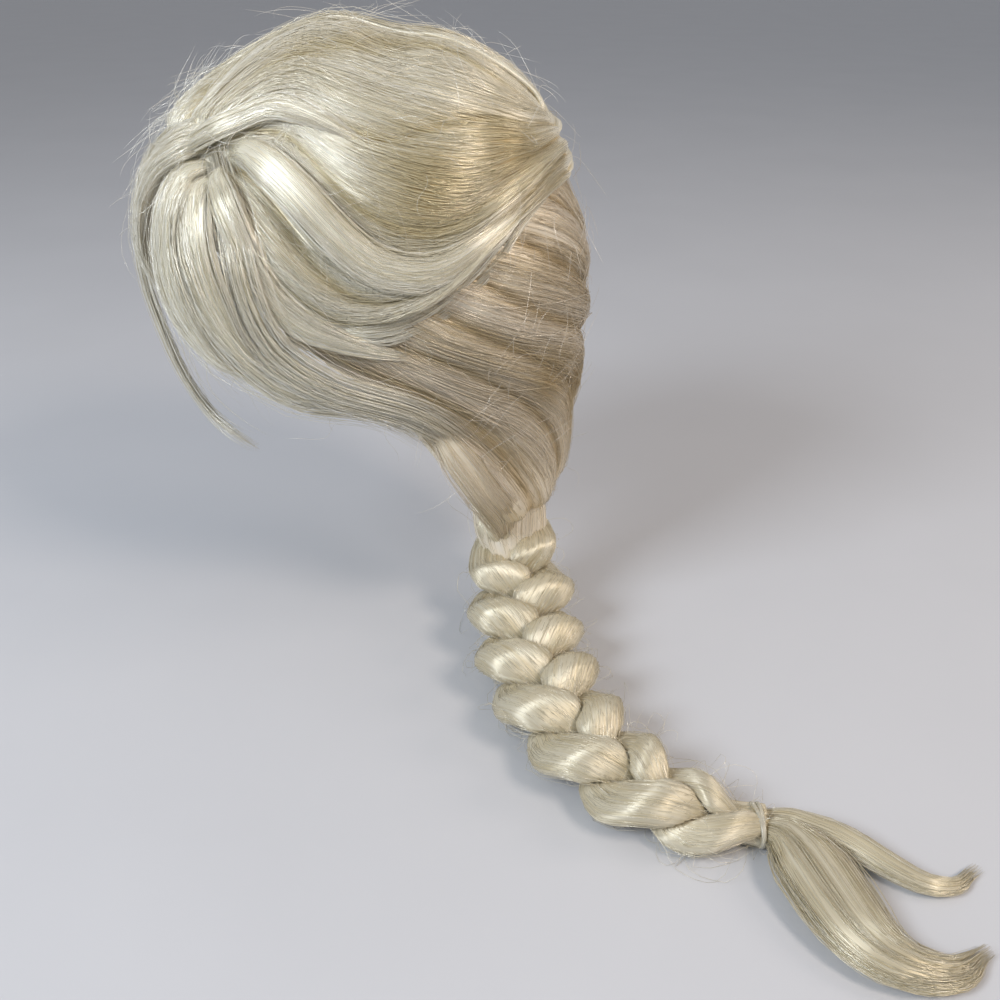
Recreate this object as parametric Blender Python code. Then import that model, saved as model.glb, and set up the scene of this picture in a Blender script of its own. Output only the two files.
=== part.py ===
"""A long pale wig, swept back from the face and gathered at the nape into one thick plait.

Metres, +Z up. The face opening looks along -Y and the wearer's left is +X. The origin is the
crown seat: the point where the top of the head meets the inside of the cap.

The cap and the hair over it are walls round one centre inside the head. A place on them is given
by its azimuth (0 at the face, 90 at the wearer's left, 180 at the back), its elevation above the
centre, and a radius. The plait and its loose end leave the nape and come down to the surface that
the wig's stand would be on.
"""

import math

import bmesh
import bpy
import numpy as np
from mathutils import Vector
from mathutils.bvhtree import BVHTree

# Head that the cap fits
HEAD_HALF_WIDTH = 0.075
HEAD_FRONT = 0.092
HEAD_BACK = 0.094
HEAD_RISE = 0.097
HEAD_DROP = 0.150
CENTRE_FORWARD = 0.004

# Height of the crown seat over the surface that the plait lies on
CROWN_HEIGHT = 0.302

# Cap and the depth of hair that stands on it
CAP_WALL = 0.002
CAP_GAP = 0.0006
SIDE_VOLUME = 0.019
FRONT_VOLUME = 0.027
BACK_VOLUME = 0.030
CROWN_VOLUME = 0.040
FALL_DEPTH = 0.170

# Depth of the deepest hollow between two locks of the swept hair
LOCK_RELIEF = 0.008

# Walls of the hair sections and the room between them
FALL_WALL = 0.013
SWEEP_LIP = 0.007
LAYER_GAP = 0.0006
ROLL_DEPTH = 0.006

# Angles over which a lip fades, the falling hair leaves the cap and the nape roll turns in, and
# how far the falling section is tucked under the swept one
LIP_FADE = 9.0
CAP_FREE_RIM = 12.0
ROLL_TURN = 9.0
TUCK = 14.0

# Plait, its band and the loose end. The reach is how far the plait's end lies from its head, to
# the side and back; the head is set out from the middle of the cap's nape.
PLAIT_REACH_SIDE = 0.191
PLAIT_REACH_BACK = 0.120
PLAIT_HEAD_SIDE = 0.045
PLAIT_HEAD_BACK = 0.005
PLAIT_HEAD_LIFT = 0.028
TAIL_REACH = 0.080
PLAIT_HALF_WIDTH = 0.034
PLAIT_HALF_THICKNESS = 0.022
LOBE_PITCH = 0.0375
STRAND_GAP = 0.0042
BAND_RADIUS = 0.0022
BAND_FIT = 1.10
BAND_SET_BACK = 0.0035
BAND_STEPS = 20
BAND_SIDES = 6
TAIL_HALF_WIDTH = 0.019
TAIL_HALF_THICKNESS = 0.009
SIDE_TAIL_HALF_WIDTH = 0.008
SIDE_TAIL_HALF_THICKNESS = 0.0055
END_GAP = 0.0005

# Fringe locks
LOCK_HALF_WIDTH = 0.010
LOCK_HALF_THICKNESS = 0.0032
LOCK_END_THINNING = 0.55
LOCK_SEAT_GAP = 0.0004

# How finely the walls and bundles are divided
AZIMUTH_STEP = 6
CAP_AZIMUTH_STEP = 10
CAP_ROWS = 10
SWEEP_ROWS = 9
FALL_ROWS = 11
STRAND_SECTION = 0.0050
STRAND_SIDES = 10
MEASURING_POINTS = 20
BUNDLE_SIDES = 12
LOCK_SIDES = 8
LOCK_SECTIONS = 15
TAIL_SECTIONS = 16
SEAT_TRIALS = 12
SEAT_SEARCH = 0.006

HAIR_COLOUR = (0.82, 0.78, 0.66, 1.0)
SHADED_HAIR_COLOUR = (0.74, 0.66, 0.48, 1.0)
CAP_COLOUR = (0.72, 0.62, 0.45, 1.0)
BAND_COLOUR = (0.80, 0.76, 0.62, 1.0)

# Outer form of the hair: for each meridian, its radius at seven elevations as a share of the
# smooth ovoid that the head and the hair volumes make. Columns: azimuth, then crown, upper, brow,
# temple, ear, jaw and nape, at the elevations named first.
FORM_ELEVATIONS = (90, 65, 40, 15, -10, -35, -57)
FORM = (
    (0, 1.00, 0.98, 1.06, 1.04, 0.96, 0.84, 0.75),
    (45, 1.00, 0.97, 0.98, 1.04, 0.96, 0.84, 0.78),
    (90, 1.00, 0.95, 0.98, 1.03, 0.98, 0.93, 0.97),
    (135, 1.00, 0.99, 1.06, 1.08, 1.05, 1.07, 1.30),
    (180, 1.00, 1.02, 1.07, 1.01, 1.01, 1.09, 1.26),
    (225, 1.00, 0.99, 1.06, 1.08, 1.03, 1.02, 1.12),
    (270, 1.00, 0.97, 1.00, 1.03, 0.97, 0.89, 0.86),
    (315, 1.00, 0.98, 1.00, 1.04, 0.96, 0.84, 0.78),
)

# Lower edge of the cap, by azimuth from the face to either side
CAP_EDGE = ((0, 22), (35, 17), (60, 5), (85, -8), (110, -24), (140, -37), (180, -42))

# Lower edge of the swept top section: the hairline in front, a low swag over each ear, and a
# climb to the back of the crown
SWEEP_EDGE = (
    (0, 24),
    (25, 26),
    (42, 32),
    (54, 31),
    (62, 24),
    (74, 11),
    (90, 2),
    (104, 7),
    (118, 14),
    (136, 23),
    (154, 28),
    (180, 21),
)

# Lower edge of the falling section, from the left temple round the back to the right temple. It
# is lowest at the back, where the plait comes out from under it.
FALL_START = 66
FALL_END = 294
FALL_EDGE = (
    (66, -8),
    (84, -13),
    (103, -27),
    (110, -37),
    (117, -44),
    (126, -48),
    (138, -51),
    (152, -53),
    (166, -54),
    (180, -55),
    (195, -53),
    (210, -50),
    (226, -46),
    (242, -40),
    (256, -30),
    (270, -18),
    (282, -12),
    (294, -8),
)

# Long hollows between locks: where each runs, its half width in degrees, and its depth as a
# share of the deepest
HOLLOWS = (
    {"route": ((64, 34), (84, 24), (108, 24), (134, 34)), "half_width": 6, "depth": 0.50},
    {"route": ((20, 44), (50, 60), (120, 62), (160, 44)), "half_width": 7, "depth": 0.38},
    {"route": ((340, 40), (300, 60), (240, 60), (205, 42)), "half_width": 7, "depth": 0.50},
    {"route": ((296, 34), (276, 24), (252, 24), (226, 34)), "half_width": 6, "depth": 0.50},
    {"route": ((128, 72), (180, 80), (236, 76), (262, 62)), "half_width": 6, "depth": 1.00},
    {"route": ((100, -8), (124, -20), (150, -24), (180, -20)), "half_width": 5, "depth": 0.38},
    {"route": ((96, -22), (118, -32), (150, -36), (180, -33)), "half_width": 5, "depth": 0.50},
    {"route": ((260, -8), (236, -20), (210, -24), (180, -20)), "half_width": 5, "depth": 0.38},
    {"route": ((264, -22), (242, -32), (210, -36), (180, -33)), "half_width": 5, "depth": 0.50},
)

# Middle line of the plait: its place to the side and to the back as shares of its reach, and how
# far it is held over its lying height as a share of the head's lift
PLAIT_ROUTE = (
    (0.000, 0.000, 1.00),
    (0.058, 0.021, 0.57),
    (0.152, 0.037, 0.25),
    (0.277, 0.058, 0.07),
    (0.445, 0.100, 0.00),
    (0.618, 0.183, 0.00),
    (0.770, 0.308, 0.00),
    (0.895, 0.475, 0.00),
    (0.974, 0.658, 0.00),
    (1.000, 0.833, 0.00),
    (1.000, 1.000, 0.00),
)

# Size of the plait along its length, as a share of its full size
PLAIT_TAPER = (
    (0.0, 0.80),
    (0.12, 0.98),
    (0.40, 0.96),
    (0.60, 0.84),
    (0.78, 0.74),
    (0.90, 0.58),
    (0.97, 0.36),
    (1.0, 0.33),
)
# A strand swings out by this share of the plait's half size, and its own half size is the rest
SWING_SHARE = 0.45
WEAVE_SHARE = 0.38

# Hair gathered from the cap's nape to the head of the plait: how far along, how far it bows
# towards the back and down, and its half sizes as shares of the plait's
GATHER = (
    {"along": 0.0, "bow": 0.0, "width": 1.00, "thickness": 0.26},
    {"along": 0.33, "bow": 0.20, "width": 0.80, "thickness": 0.34},
    {"along": 0.70, "bow": -1.00, "width": 0.50, "thickness": 0.38},
    {"along": 1.0, "bow": 0.0, "width": 0.42, "thickness": 0.50},
)
GATHER_BOW = 0.006

# Loose end of the plait below its band: its place to the side and to the back of the plait's end
# as shares of the tail's reach, and half width and half thickness as shares of the lock's own
MAIN_TAIL = (
    (0.038, 0.001, 0.34, 0.70),
    (0.081, 0.063, 0.50, 0.85),
    (0.200, 0.144, 0.80, 1.00),
    (0.375, 0.213, 1.00, 1.00),
    (0.587, 0.281, 0.97, 0.90),
    (0.800, 0.381, 0.85, 0.75),
    (0.938, 0.556, 0.66, 0.60),
    (0.963, 0.769, 0.45, 0.45),
    (0.838, 0.981, 0.14, 0.25),
)
SIDE_TAIL = (
    (-0.094, 0.001, 0.40, 0.90),
    (-0.087, 0.106, 0.50, 0.95),
    (-0.031, 0.269, 0.80, 1.00),
    (0.088, 0.469, 1.00, 1.00),
    (0.238, 0.631, 0.95, 0.85),
    (0.375, 0.806, 0.80, 0.70),
    (0.400, 0.981, 0.60, 0.50),
    (0.288, 1.156, 0.20, 0.30),
)

# Locks that fall free from the front: azimuth, elevation, how far the middle of the lock stands
# over the hair's form (in lock half thicknesses past its seat), and its width share
COWLICK_LOCK = (
    (42, 44, 0.0, 0.55),
    (52, 36, 0.3, 0.85),
    (60, 24, 0.8, 1.00),
    (65, 10, 1.2, 1.00),
    (72, -6, 1.5, 1.00),
    (85, -15, 1.2, 0.95),
    (100, -20, 0.6, 0.70),
)
FRINGE_LOCK = (
    (28, 38, 0.0, 0.50),
    (40, 26, 0.8, 0.72),
    (49, 10, 1.5, 0.80),
    (56, -6, 1.5, 0.80),
    (66, -19, 1.5, 0.75),
    (80, -27, 1.5, 0.65),
    (96, -33, 1.0, 0.40),
)
FRONT_WISP = (
    (8, 36, 0.0, 0.35),
    (11, 22, 0.2, 0.50),
    (14, 6, 0.2, 0.55),
    (16, -10, 0.8, 0.50),
    (18, -24, 2.4, 0.45),
    (24, -37, 3.6, 0.38),
    (38, -46, 3.0, 0.25),
)


def centre():
    """The point inside the head that azimuths and elevations are measured round."""
    return Vector((0.0, -CENTRE_FORWARD, -HEAD_RISE))


def direction(azimuth, elevation):
    turn = math.radians(azimuth)
    climb = math.radians(elevation)
    level = math.cos(climb)
    return Vector((math.sin(turn) * level, -math.cos(turn) * level, math.sin(climb)))


def ovoid_radius(azimuth, elevation, half_width, front, back, rise, drop):
    """Distance from the centre to a smooth egg with those half sizes."""
    way = direction(azimuth, elevation)
    depth = back if way.y > 0 else front
    height = rise if way.z > 0 else drop
    return 1.0 / math.sqrt((way.x / half_width) ** 2 + (way.y / depth) ** 2 + (way.z / height) ** 2)


def smooth_through(knots, values, place):
    """Value at place on a smooth curve through values at rising knots, level past both ends."""
    knots = np.asarray(knots, float)
    values = np.asarray(values, float)
    place = min(max(place, knots[0]), knots[-1])
    slopes = np.gradient(values, knots, axis=0)
    left = min(max(int(np.searchsorted(knots, place)) - 1, 0), len(knots) - 2)
    span = knots[left + 1] - knots[left]
    t = (place - knots[left]) / span
    rising = 3 * t**2 - 2 * t**3
    start_pull = t**3 - 2 * t**2 + t
    end_pull = t**3 - t**2
    return (
        (1 - rising) * values[left]
        + rising * values[left + 1]
        + span * (start_pull * slopes[left] + end_pull * slopes[left + 1])
    )


def ease(share):
    share = min(max(share, 0.0), 1.0)
    return share * share * (3 - 2 * share)


def mirrored(table, azimuth):
    """Reads a table that runs from the face (0) to the back (180) on either side of the head."""
    folded = azimuth % 360
    folded = 360 - folded if folded > 180 else folded
    return float(smooth_through(*zip(*table), folded))


def head_radius(azimuth, elevation):
    return ovoid_radius(
        azimuth, elevation, HEAD_HALF_WIDTH, HEAD_FRONT, HEAD_BACK, HEAD_RISE, HEAD_DROP
    )


def cap_outer(azimuth, elevation):
    return head_radius(azimuth, elevation) + CAP_WALL


def form_share(azimuth, elevation):
    """Reads FORM smoothly in both directions. The first and last meridians wrap round the head."""
    rising = FORM_ELEVATIONS[::-1]
    shares = [smooth_through(rising, row[:0:-1], elevation) for row in FORM]
    azimuths = [row[0] for row in FORM]
    azimuths = [azimuths[-1] - 360, *azimuths, 360, azimuths[1] + 360]
    shares = [shares[-1], *shares, shares[0], shares[1]]
    return float(smooth_through(azimuths, shares, azimuth % 360))


def hollow_depth(azimuth, elevation):
    """How deep the long hollows between locks are at that place."""
    here = direction(azimuth, elevation)
    deepest = 0.0
    for hollow in HOLLOWS:
        route = [direction(*place) for place in hollow["route"]]
        for start, end in zip(route, route[1:]):
            run = end - start
            along = min(max((here - start).dot(run) / run.length_squared, 0.0), 1.0)
            away = (here - start - run * along).length / math.radians(hollow["half_width"])
            deepest = max(deepest, hollow["depth"] * math.exp(-away * away))
    return deepest * LOCK_RELIEF


def hair_radius(azimuth, elevation):
    """Outer form of the hair over the cap."""
    smooth = ovoid_radius(
        azimuth,
        elevation,
        HEAD_HALF_WIDTH + CAP_WALL + SIDE_VOLUME,
        HEAD_FRONT + CAP_WALL + FRONT_VOLUME,
        HEAD_BACK + CAP_WALL + BACK_VOLUME,
        HEAD_RISE + CAP_WALL + CROWN_VOLUME,
        FALL_DEPTH,
    )
    return smooth * form_share(azimuth, elevation) - hollow_depth(azimuth % 360, elevation)


def sweep_edge(azimuth):
    return mirrored(SWEEP_EDGE, azimuth)


def cap_edge(azimuth):
    return mirrored(CAP_EDGE, azimuth)


def fall_edge(azimuth):
    return float(smooth_through(*zip(*FALL_EDGE), azimuth))


def lipped_radius(azimuth, elevation):
    """The falling section starts lower, so that the swept section's lip lies over it."""
    below = (sweep_edge(azimuth) - elevation) / LIP_FADE
    return hair_radius(azimuth, elevation) - SWEEP_LIP * (1 - ease(below))


def fall_outer(azimuth, elevation):
    """Turned in at its lower edge, where the hair rolls under into the plait."""
    over_edge = (elevation - fall_edge(azimuth)) / ROLL_TURN
    return lipped_radius(azimuth, elevation) - ROLL_DEPTH * (1 - ease(over_edge))


def fall_inner(azimuth, elevation):
    """Rests on the cap, and hangs free of it near the cap's rim and below."""
    on_cap = ease((elevation - cap_edge(azimuth)) / CAP_FREE_RIM)
    free = lipped_radius(azimuth, elevation) - FALL_WALL
    seated = cap_outer(azimuth, elevation) + CAP_GAP
    return max(free + (seated - free) * on_cap, seated)


def spot(azimuth, elevation, radius):
    return centre() + direction(azimuth, elevation) * radius


def material(name, colour, roughness):
    made = bpy.data.materials.new(name)
    made.use_nodes = True
    shader = made.node_tree.nodes["Principled BSDF"]
    shader.inputs["Base Color"].default_value = colour
    shader.inputs["Roughness"].default_value = roughness
    shader.inputs["Metallic"].default_value = 0.0
    return made


def add_object(name, bm, finish):
    """Closes seams, points the faces outwards and adds the object with its material."""
    bmesh.ops.remove_doubles(bm, verts=bm.verts, dist=1e-6)
    bmesh.ops.recalc_face_normals(bm, faces=bm.faces)
    if bm.calc_volume(signed=True) < 0:
        bmesh.ops.reverse_faces(bm, faces=bm.faces)
    mesh = bpy.data.meshes.new(name)
    bm.to_mesh(mesh)
    bm.free()
    mesh.materials.append(finish)
    mesh.shade_smooth()
    made = bpy.data.objects.new(name, mesh)
    bpy.context.scene.collection.objects.link(made)
    return made


def wall(name, outer, inner, wraps, finish):
    """A wall between two grids of points, given as columns of equal length. wraps joins the last
    column to the first. Every quad is cut the same way, so that layers on one grid stay parallel."""
    bm = bmesh.new()
    skins = [[[bm.verts.new(p) for p in column] for column in grid] for grid in (outer, inner)]
    columns = len(outer)
    rows = len(outer[0])

    def quad(a, b, c, d):
        bm.faces.new((a, b, c))
        bm.faces.new((a, c, d))

    for skin in skins:
        for i in range(columns if wraps else columns - 1):
            left = skin[i]
            right = skin[(i + 1) % columns]
            for j in range(rows - 1):
                quad(left[j], right[j], right[j + 1], left[j + 1])
    outer_skin, inner_skin = skins
    for i in range(columns if wraps else columns - 1):
        for j in (0, rows - 1):
            k = (i + 1) % columns
            quad(outer_skin[i][j], outer_skin[k][j], inner_skin[k][j], inner_skin[i][j])
    if not wraps:
        for i in (0, columns - 1):
            for j in range(rows - 1):
                quad(outer_skin[i][j], outer_skin[i][j + 1], inner_skin[i][j + 1], inner_skin[i][j])
    return add_object(name, bm, finish)


def dome(name, outer, inner, finish):
    """A wall that wraps round and closes at the crown: row 0 of both grids is one point each."""
    bm = bmesh.new()
    for grid in (outer, inner):
        skin = [[bm.verts.new(p) for p in column[1:]] for column in grid]
        pole = bm.verts.new(grid[0][0])
        for i in range(len(skin)):
            left = skin[i]
            right = skin[(i + 1) % len(skin)]
            bm.faces.new((pole, left[0], right[0]))
            for j in range(len(left) - 1):
                bm.faces.new((left[j], right[j], right[j + 1]))
                bm.faces.new((left[j], right[j + 1], left[j + 1]))
        if grid is outer:
            outer_rim = [column[-1] for column in skin]
        else:
            inner_rim = [column[-1] for column in skin]
    for i in range(len(outer_rim)):
        k = (i + 1) % len(outer_rim)
        bm.faces.new((outer_rim[i], outer_rim[k], inner_rim[k]))
        bm.faces.new((outer_rim[i], inner_rim[k], inner_rim[i]))
    return add_object(name, bm, finish)


def bundle(name, rings, finish):
    """A solid lofted through closed rings of equal count, with a flat end at each side."""
    bm = bmesh.new()
    loops = [[bm.verts.new(p) for p in ring] for ring in rings]
    count = len(loops[0])
    for near, far in zip(loops, loops[1:]):
        for i in range(count):
            k = (i + 1) % count
            bm.faces.new((near[i], near[k], far[k]))
            bm.faces.new((near[i], far[k], far[i]))
    for loop in (loops[0], loops[-1]):
        hub = bm.verts.new(sum((v.co for v in loop), Vector()) / count)
        for i in range(count):
            bm.faces.new((loop[i], loop[(i + 1) % count], hub))
    return add_object(name, bm, finish)


def oval(middle, wide, thick, sides):
    """A ring of points round middle, with two half axes given as vectors."""
    turns = [2 * math.pi * k / sides for k in range(sides)]
    return [middle + wide * math.cos(turn) + thick * math.sin(turn) for turn in turns]


def even_route(points, count):
    """count points, evenly spaced, on one smooth curve through the given points."""
    points = np.asarray(points, float)
    steps = np.linalg.norm(np.diff(points, axis=0), axis=1)
    knots = np.concatenate(([0.0], np.cumsum(steps)))
    fine = np.linspace(0.0, knots[-1], 20 * count)
    curve = np.array([smooth_through(knots, points, place) for place in fine])
    lengths = np.concatenate(([0.0], np.cumsum(np.linalg.norm(np.diff(curve, axis=0), axis=1))))
    wanted = np.linspace(0.0, lengths[-1], count)
    spaced = [[np.interp(place, lengths, curve[:, axis]) for axis in range(3)] for place in wanted]
    return np.array(spaced), lengths[-1]


def level_frames(route):
    """For each point of a route: its tangent, a level vector across it, and the third axis."""
    frames = []
    for along in np.gradient(route, axis=0):
        tangent = Vector(along).normalized()
        across = Vector((0.0, 0.0, 1.0)).cross(tangent).normalized()
        frames.append((tangent, across, tangent.cross(across)))
    return frames


def plait_scale(share):
    return float(smooth_through(*zip(*PLAIT_TAPER), share))


def nape_rim():
    """Middle of the cap's wall at the back of the neck."""
    edge = cap_edge(180)
    return spot(180, edge, head_radius(180, edge) + CAP_WALL / 2)


def plait_line():
    """The plait's middle line, its frames and its length. It lies on the floor where not held up."""
    head = nape_rim() + Vector((PLAIT_HEAD_SIDE, PLAIT_HEAD_BACK, 0.0))
    flat = [
        Vector((head.x + PLAIT_REACH_SIDE * side, head.y + PLAIT_REACH_BACK * back, 0.0))
        for side, back, lift in PLAIT_ROUTE
    ]
    steps = [0.0]
    for start, end in zip(flat, flat[1:]):
        steps.append(steps[-1] + (end - start).length)
    points = []
    for place, step, (side, back, lift) in zip(flat, steps, PLAIT_ROUTE):
        lying = PLAIT_HALF_THICKNESS * plait_scale(step / steps[-1]) - CROWN_HEIGHT
        points.append((place.x, place.y, lying + PLAIT_HEAD_LIFT * lift))
    length = even_route(points, MEASURING_POINTS)[1]
    route, length = even_route(points, max(MEASURING_POINTS, round(length / STRAND_SECTION)))
    return route, level_frames(route), length


def strand_sections(route, frames, length, strand):
    """Rings of one of the three strands, each in the plane across the plait's middle line. A ring
    is an oval round the strand's place, cut back half way to the other two strands."""
    rings = []
    for number, (middle, (tangent, across, up)) in enumerate(zip(route, frames)):
        share = number / (len(route) - 1)
        size = plait_scale(share)
        half_width = PLAIT_HALF_WIDTH * size
        half_thickness = PLAIT_HALF_THICKNESS * size
        phase = 2 * math.pi * share * length / (3 * LOBE_PITCH)
        places = []
        for other in range(3):
            turn = phase + 2 * math.pi * other / 3
            sideways = half_width * SWING_SHARE * math.sin(turn)
            weave = -half_thickness * WEAVE_SHARE * math.sin(2 * turn)
            places.append(np.array((sideways, weave)))
        own = places[strand]
        ring = []
        for side in range(STRAND_SIDES):
            turn = 2 * math.pi * side / STRAND_SIDES
            way = np.array((math.cos(turn), math.sin(turn)))
            reach = 1.0 / math.hypot(
                way[0] / (half_width * (1 - SWING_SHARE)),
                way[1] / (half_thickness * (1 - WEAVE_SHARE)),
            )
            for other in range(3):
                apart = places[other] - own
                towards = float(way @ apart)
                if other != strand and towards > 0:
                    distance = float(np.linalg.norm(apart))
                    reach = min(reach, (distance - STRAND_GAP) / 2 * distance / towards)
            x, y = own + way * reach
            ring.append(Vector(middle) + across * x + up * y)
        rings.append(ring)
    return rings


def build_cap(finish):
    outer = []
    inner = []
    for azimuth in range(0, 360, CAP_AZIMUTH_STEP):
        edge = cap_edge(azimuth)
        climbs = [90 - (90 - edge) * row / CAP_ROWS for row in range(CAP_ROWS + 1)]
        outer.append([spot(azimuth, e, cap_outer(azimuth, e)) for e in climbs])
        inner.append([spot(azimuth, e, head_radius(azimuth, e)) for e in climbs])
    dome("wig_cap", outer, inner, finish)


def build_sweep(finish):
    """The hair combed back over the cap, from the hairline to a lip over the falling section."""
    outer = []
    inner = []
    for azimuth in range(0, 360, AZIMUTH_STEP):
        edge = sweep_edge(azimuth)
        climbs = [90 - (90 - edge - TUCK) * row / SWEEP_ROWS for row in range(SWEEP_ROWS + 1)]
        lapped = [edge + TUCK / 2, edge]
        over_fall = FALL_START <= azimuth <= FALL_END
        seats = [cap_outer(azimuth, e) + CAP_GAP for e in climbs + lapped]
        if over_fall:
            lip = [edge + TUCK] + lapped
            seats[-len(lip) :] = [fall_outer(azimuth, e) + LAYER_GAP for e in lip]
        outer.append([spot(azimuth, e, hair_radius(azimuth, e)) for e in climbs + lapped])
        inner.append([spot(azimuth, e, r) for e, r in zip(climbs + lapped, seats)])
    return dome("swept_top_hair", outer, inner, finish)


def build_fall(finish):
    """The hair drawn from under the sweep, round the back and down to the nape."""
    outer = []
    inner = []
    for azimuth in range(FALL_START, FALL_END + 1, AZIMUTH_STEP):
        top = sweep_edge(azimuth)
        bottom = fall_edge(azimuth)
        climbs = [top + TUCK, top + TUCK / 2]
        climbs += [top + (bottom - top) * row / FALL_ROWS for row in range(FALL_ROWS + 1)]
        outer.append([spot(azimuth, e, fall_outer(azimuth, e)) for e in climbs])
        inner.append([spot(azimuth, e, fall_inner(azimuth, e)) for e in climbs])
    wall("falling_back_hair", outer, inner, False, finish)


def build_plait(finish):
    route, frames, length = plait_line()
    for strand in range(3):
        rings = strand_sections(route, frames, length, strand)
        bundle(f"plait_strand_{strand + 1}", rings, finish)


def build_gather(finish):
    """The hair under the nape, from the cap's rim to the head of the plait."""
    route, frames, length = plait_line()
    tangent, across, up = frames[0]
    end = Vector(route[0]) - tangent * END_GAP
    rim = cap_edge(180)
    outwards = direction(180, rim)
    start = nape_rim() - direction(180, rim + 90) * END_GAP
    bow_way = Vector((0.0, 1.0, 0.0))
    rings = []
    for row in GATHER:
        along = row["along"]
        middle = start.lerp(end, along) + bow_way * GATHER_BOW * row["bow"]
        wide = Vector((1.0, 0.0, 0.0)).lerp(-across, ease(along)).normalized()
        thick = outwards.lerp(up, ease(along)).normalized()
        half_width = PLAIT_HALF_WIDTH * row["width"]
        half_thickness = PLAIT_HALF_THICKNESS * row["thickness"]
        rings.append(oval(middle, wide * half_width, thick * half_thickness, BUNDLE_SIDES))
    bundle("nape_gather", rings, finish)


def build_band(finish):
    """The elastic that ties the plait off: a ring round the ends of the strands and of the tail."""
    route, frames, length = plait_line()
    tangent, across, up = frames[-1]
    tied = plait_scale(1.0) * BAND_FIT
    middle = Vector(route[-1]) - tangent * BAND_SET_BACK
    wide = PLAIT_HALF_WIDTH * tied + BAND_RADIUS
    thick = PLAIT_HALF_THICKNESS * tied + BAND_RADIUS
    bm = bmesh.new()
    loops = []
    for step in range(BAND_STEPS):
        turn = 2 * math.pi * step / BAND_STEPS
        core = middle + across * (wide * math.cos(turn)) + up * (thick * math.sin(turn))
        away = (core - middle).normalized()
        ring = oval(core, away * BAND_RADIUS, tangent * BAND_RADIUS, BAND_SIDES)
        loops.append([bm.verts.new(place) for place in ring])
    for near, far in zip(loops, loops[1:] + loops[:1]):
        for i in range(BAND_SIDES):
            k = (i + 1) % BAND_SIDES
            bm.faces.new((near[i], near[k], far[k], far[i]))
    add_object("plait_band", bm, finish)


def build_tail(name, table, half_width, half_thickness, finish):
    """A loose lock past the band. Its root faces the plait's end, at its own place across it."""
    plait, plait_frames, length = plait_line()
    tangent, across, up = plait_frames[-1]
    end = Vector(plait[-1])
    rows = [end - across * (TAIL_REACH * table[0][0]) + tangent * END_GAP]
    for side, back, width, thickness in table[1:]:
        lying = half_thickness * thickness - CROWN_HEIGHT
        rows.append((end.x + TAIL_REACH * side, end.y + TAIL_REACH * back, lying))
    route = even_route(rows, TAIL_SECTIONS)[0]
    frames = level_frames(route)
    frames[0] = (tangent, across, up)
    shares = np.linspace(0.0, 1.0, len(table))
    rings = []
    for number, (middle, (tangent, across, up)) in enumerate(zip(route, frames)):
        place = number / (len(route) - 1)
        width = float(smooth_through(shares, [row[2] for row in table], place))
        thickness = float(smooth_through(shares, [row[3] for row in table], place))
        wide = across * (half_width * width)
        thick = up * (half_thickness * thickness)
        rings.append(oval(Vector(middle), wide, thick, BUNDLE_SIDES))
    return bundle(name, rings, finish)


def tree_of(made):
    mesh = made.data
    return BVHTree.FromPolygons(
        [v.co.copy() for v in mesh.vertices], [tuple(face.vertices) for face in mesh.polygons]
    )


def stands_clear(made, carrier, carrier_tree):
    own_tree = tree_of(made)
    if carrier_tree.overlap(own_tree):
        return False
    sides = ((carrier_tree, made), (own_tree, carrier))
    return all(
        tree.find_nearest(vertex.co)[3] > LOCK_SEAT_GAP
        for tree, other in sides
        for vertex in other.data.vertices
    )


def seat(made, carrier, way):
    """Slides the object along way to the lowest place where it stands clear of its carrier."""
    under = tree_of(carrier)
    home = [v.co.copy() for v in made.data.vertices]
    sunk, clear = -SEAT_SEARCH, SEAT_SEARCH
    for trial in range(SEAT_TRIALS):
        shift = (sunk + clear) / 2 if trial < SEAT_TRIALS - 1 else clear
        for vertex, place in zip(made.data.vertices, home):
            vertex.co = place + way * shift
        if stands_clear(made, carrier, under):
            clear = shift
        else:
            sunk = shift


def build_lock(name, table, side, carrier, finish):
    """A flat lock that is seated on the hair at its root and falls free. side is 1 for the
    wearer's left and -1 for the right."""
    shares = np.linspace(0.0, 1.0, len(table))
    middles = []
    widths = []
    for number in range(LOCK_SECTIONS):
        place = number / (LOCK_SECTIONS - 1)
        azimuth, elevation, lift, width = smooth_through(shares, table, place)
        azimuth = side * azimuth
        lying = hair_radius(azimuth, elevation) + LOCK_SEAT_GAP + LOCK_HALF_THICKNESS
        middles.append(spot(azimuth, elevation, lying + lift * LOCK_HALF_THICKNESS))
        widths.append(width)
    rings = []
    for number, middle in enumerate(middles):
        before = middles[max(number - 1, 0)]
        after = middles[min(number + 1, LOCK_SECTIONS - 1)]
        tangent = (after - before).normalized()
        outwards = (middle - centre()).normalized()
        across = tangent.cross(outwards).normalized()
        outwards = across.cross(tangent)
        from_middle = abs(2 * number / (LOCK_SECTIONS - 1) - 1)
        ends = 1.0 - LOCK_END_THINNING * from_middle**4
        wide = across * (LOCK_HALF_WIDTH * widths[number])
        thick = outwards * (LOCK_HALF_THICKNESS * ends)
        rings.append(oval(middle, wide, thick, LOCK_SIDES))
    made = bundle(name, rings, finish)
    seat(made, carrier, direction(side * table[0][0], table[0][1]))


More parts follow.
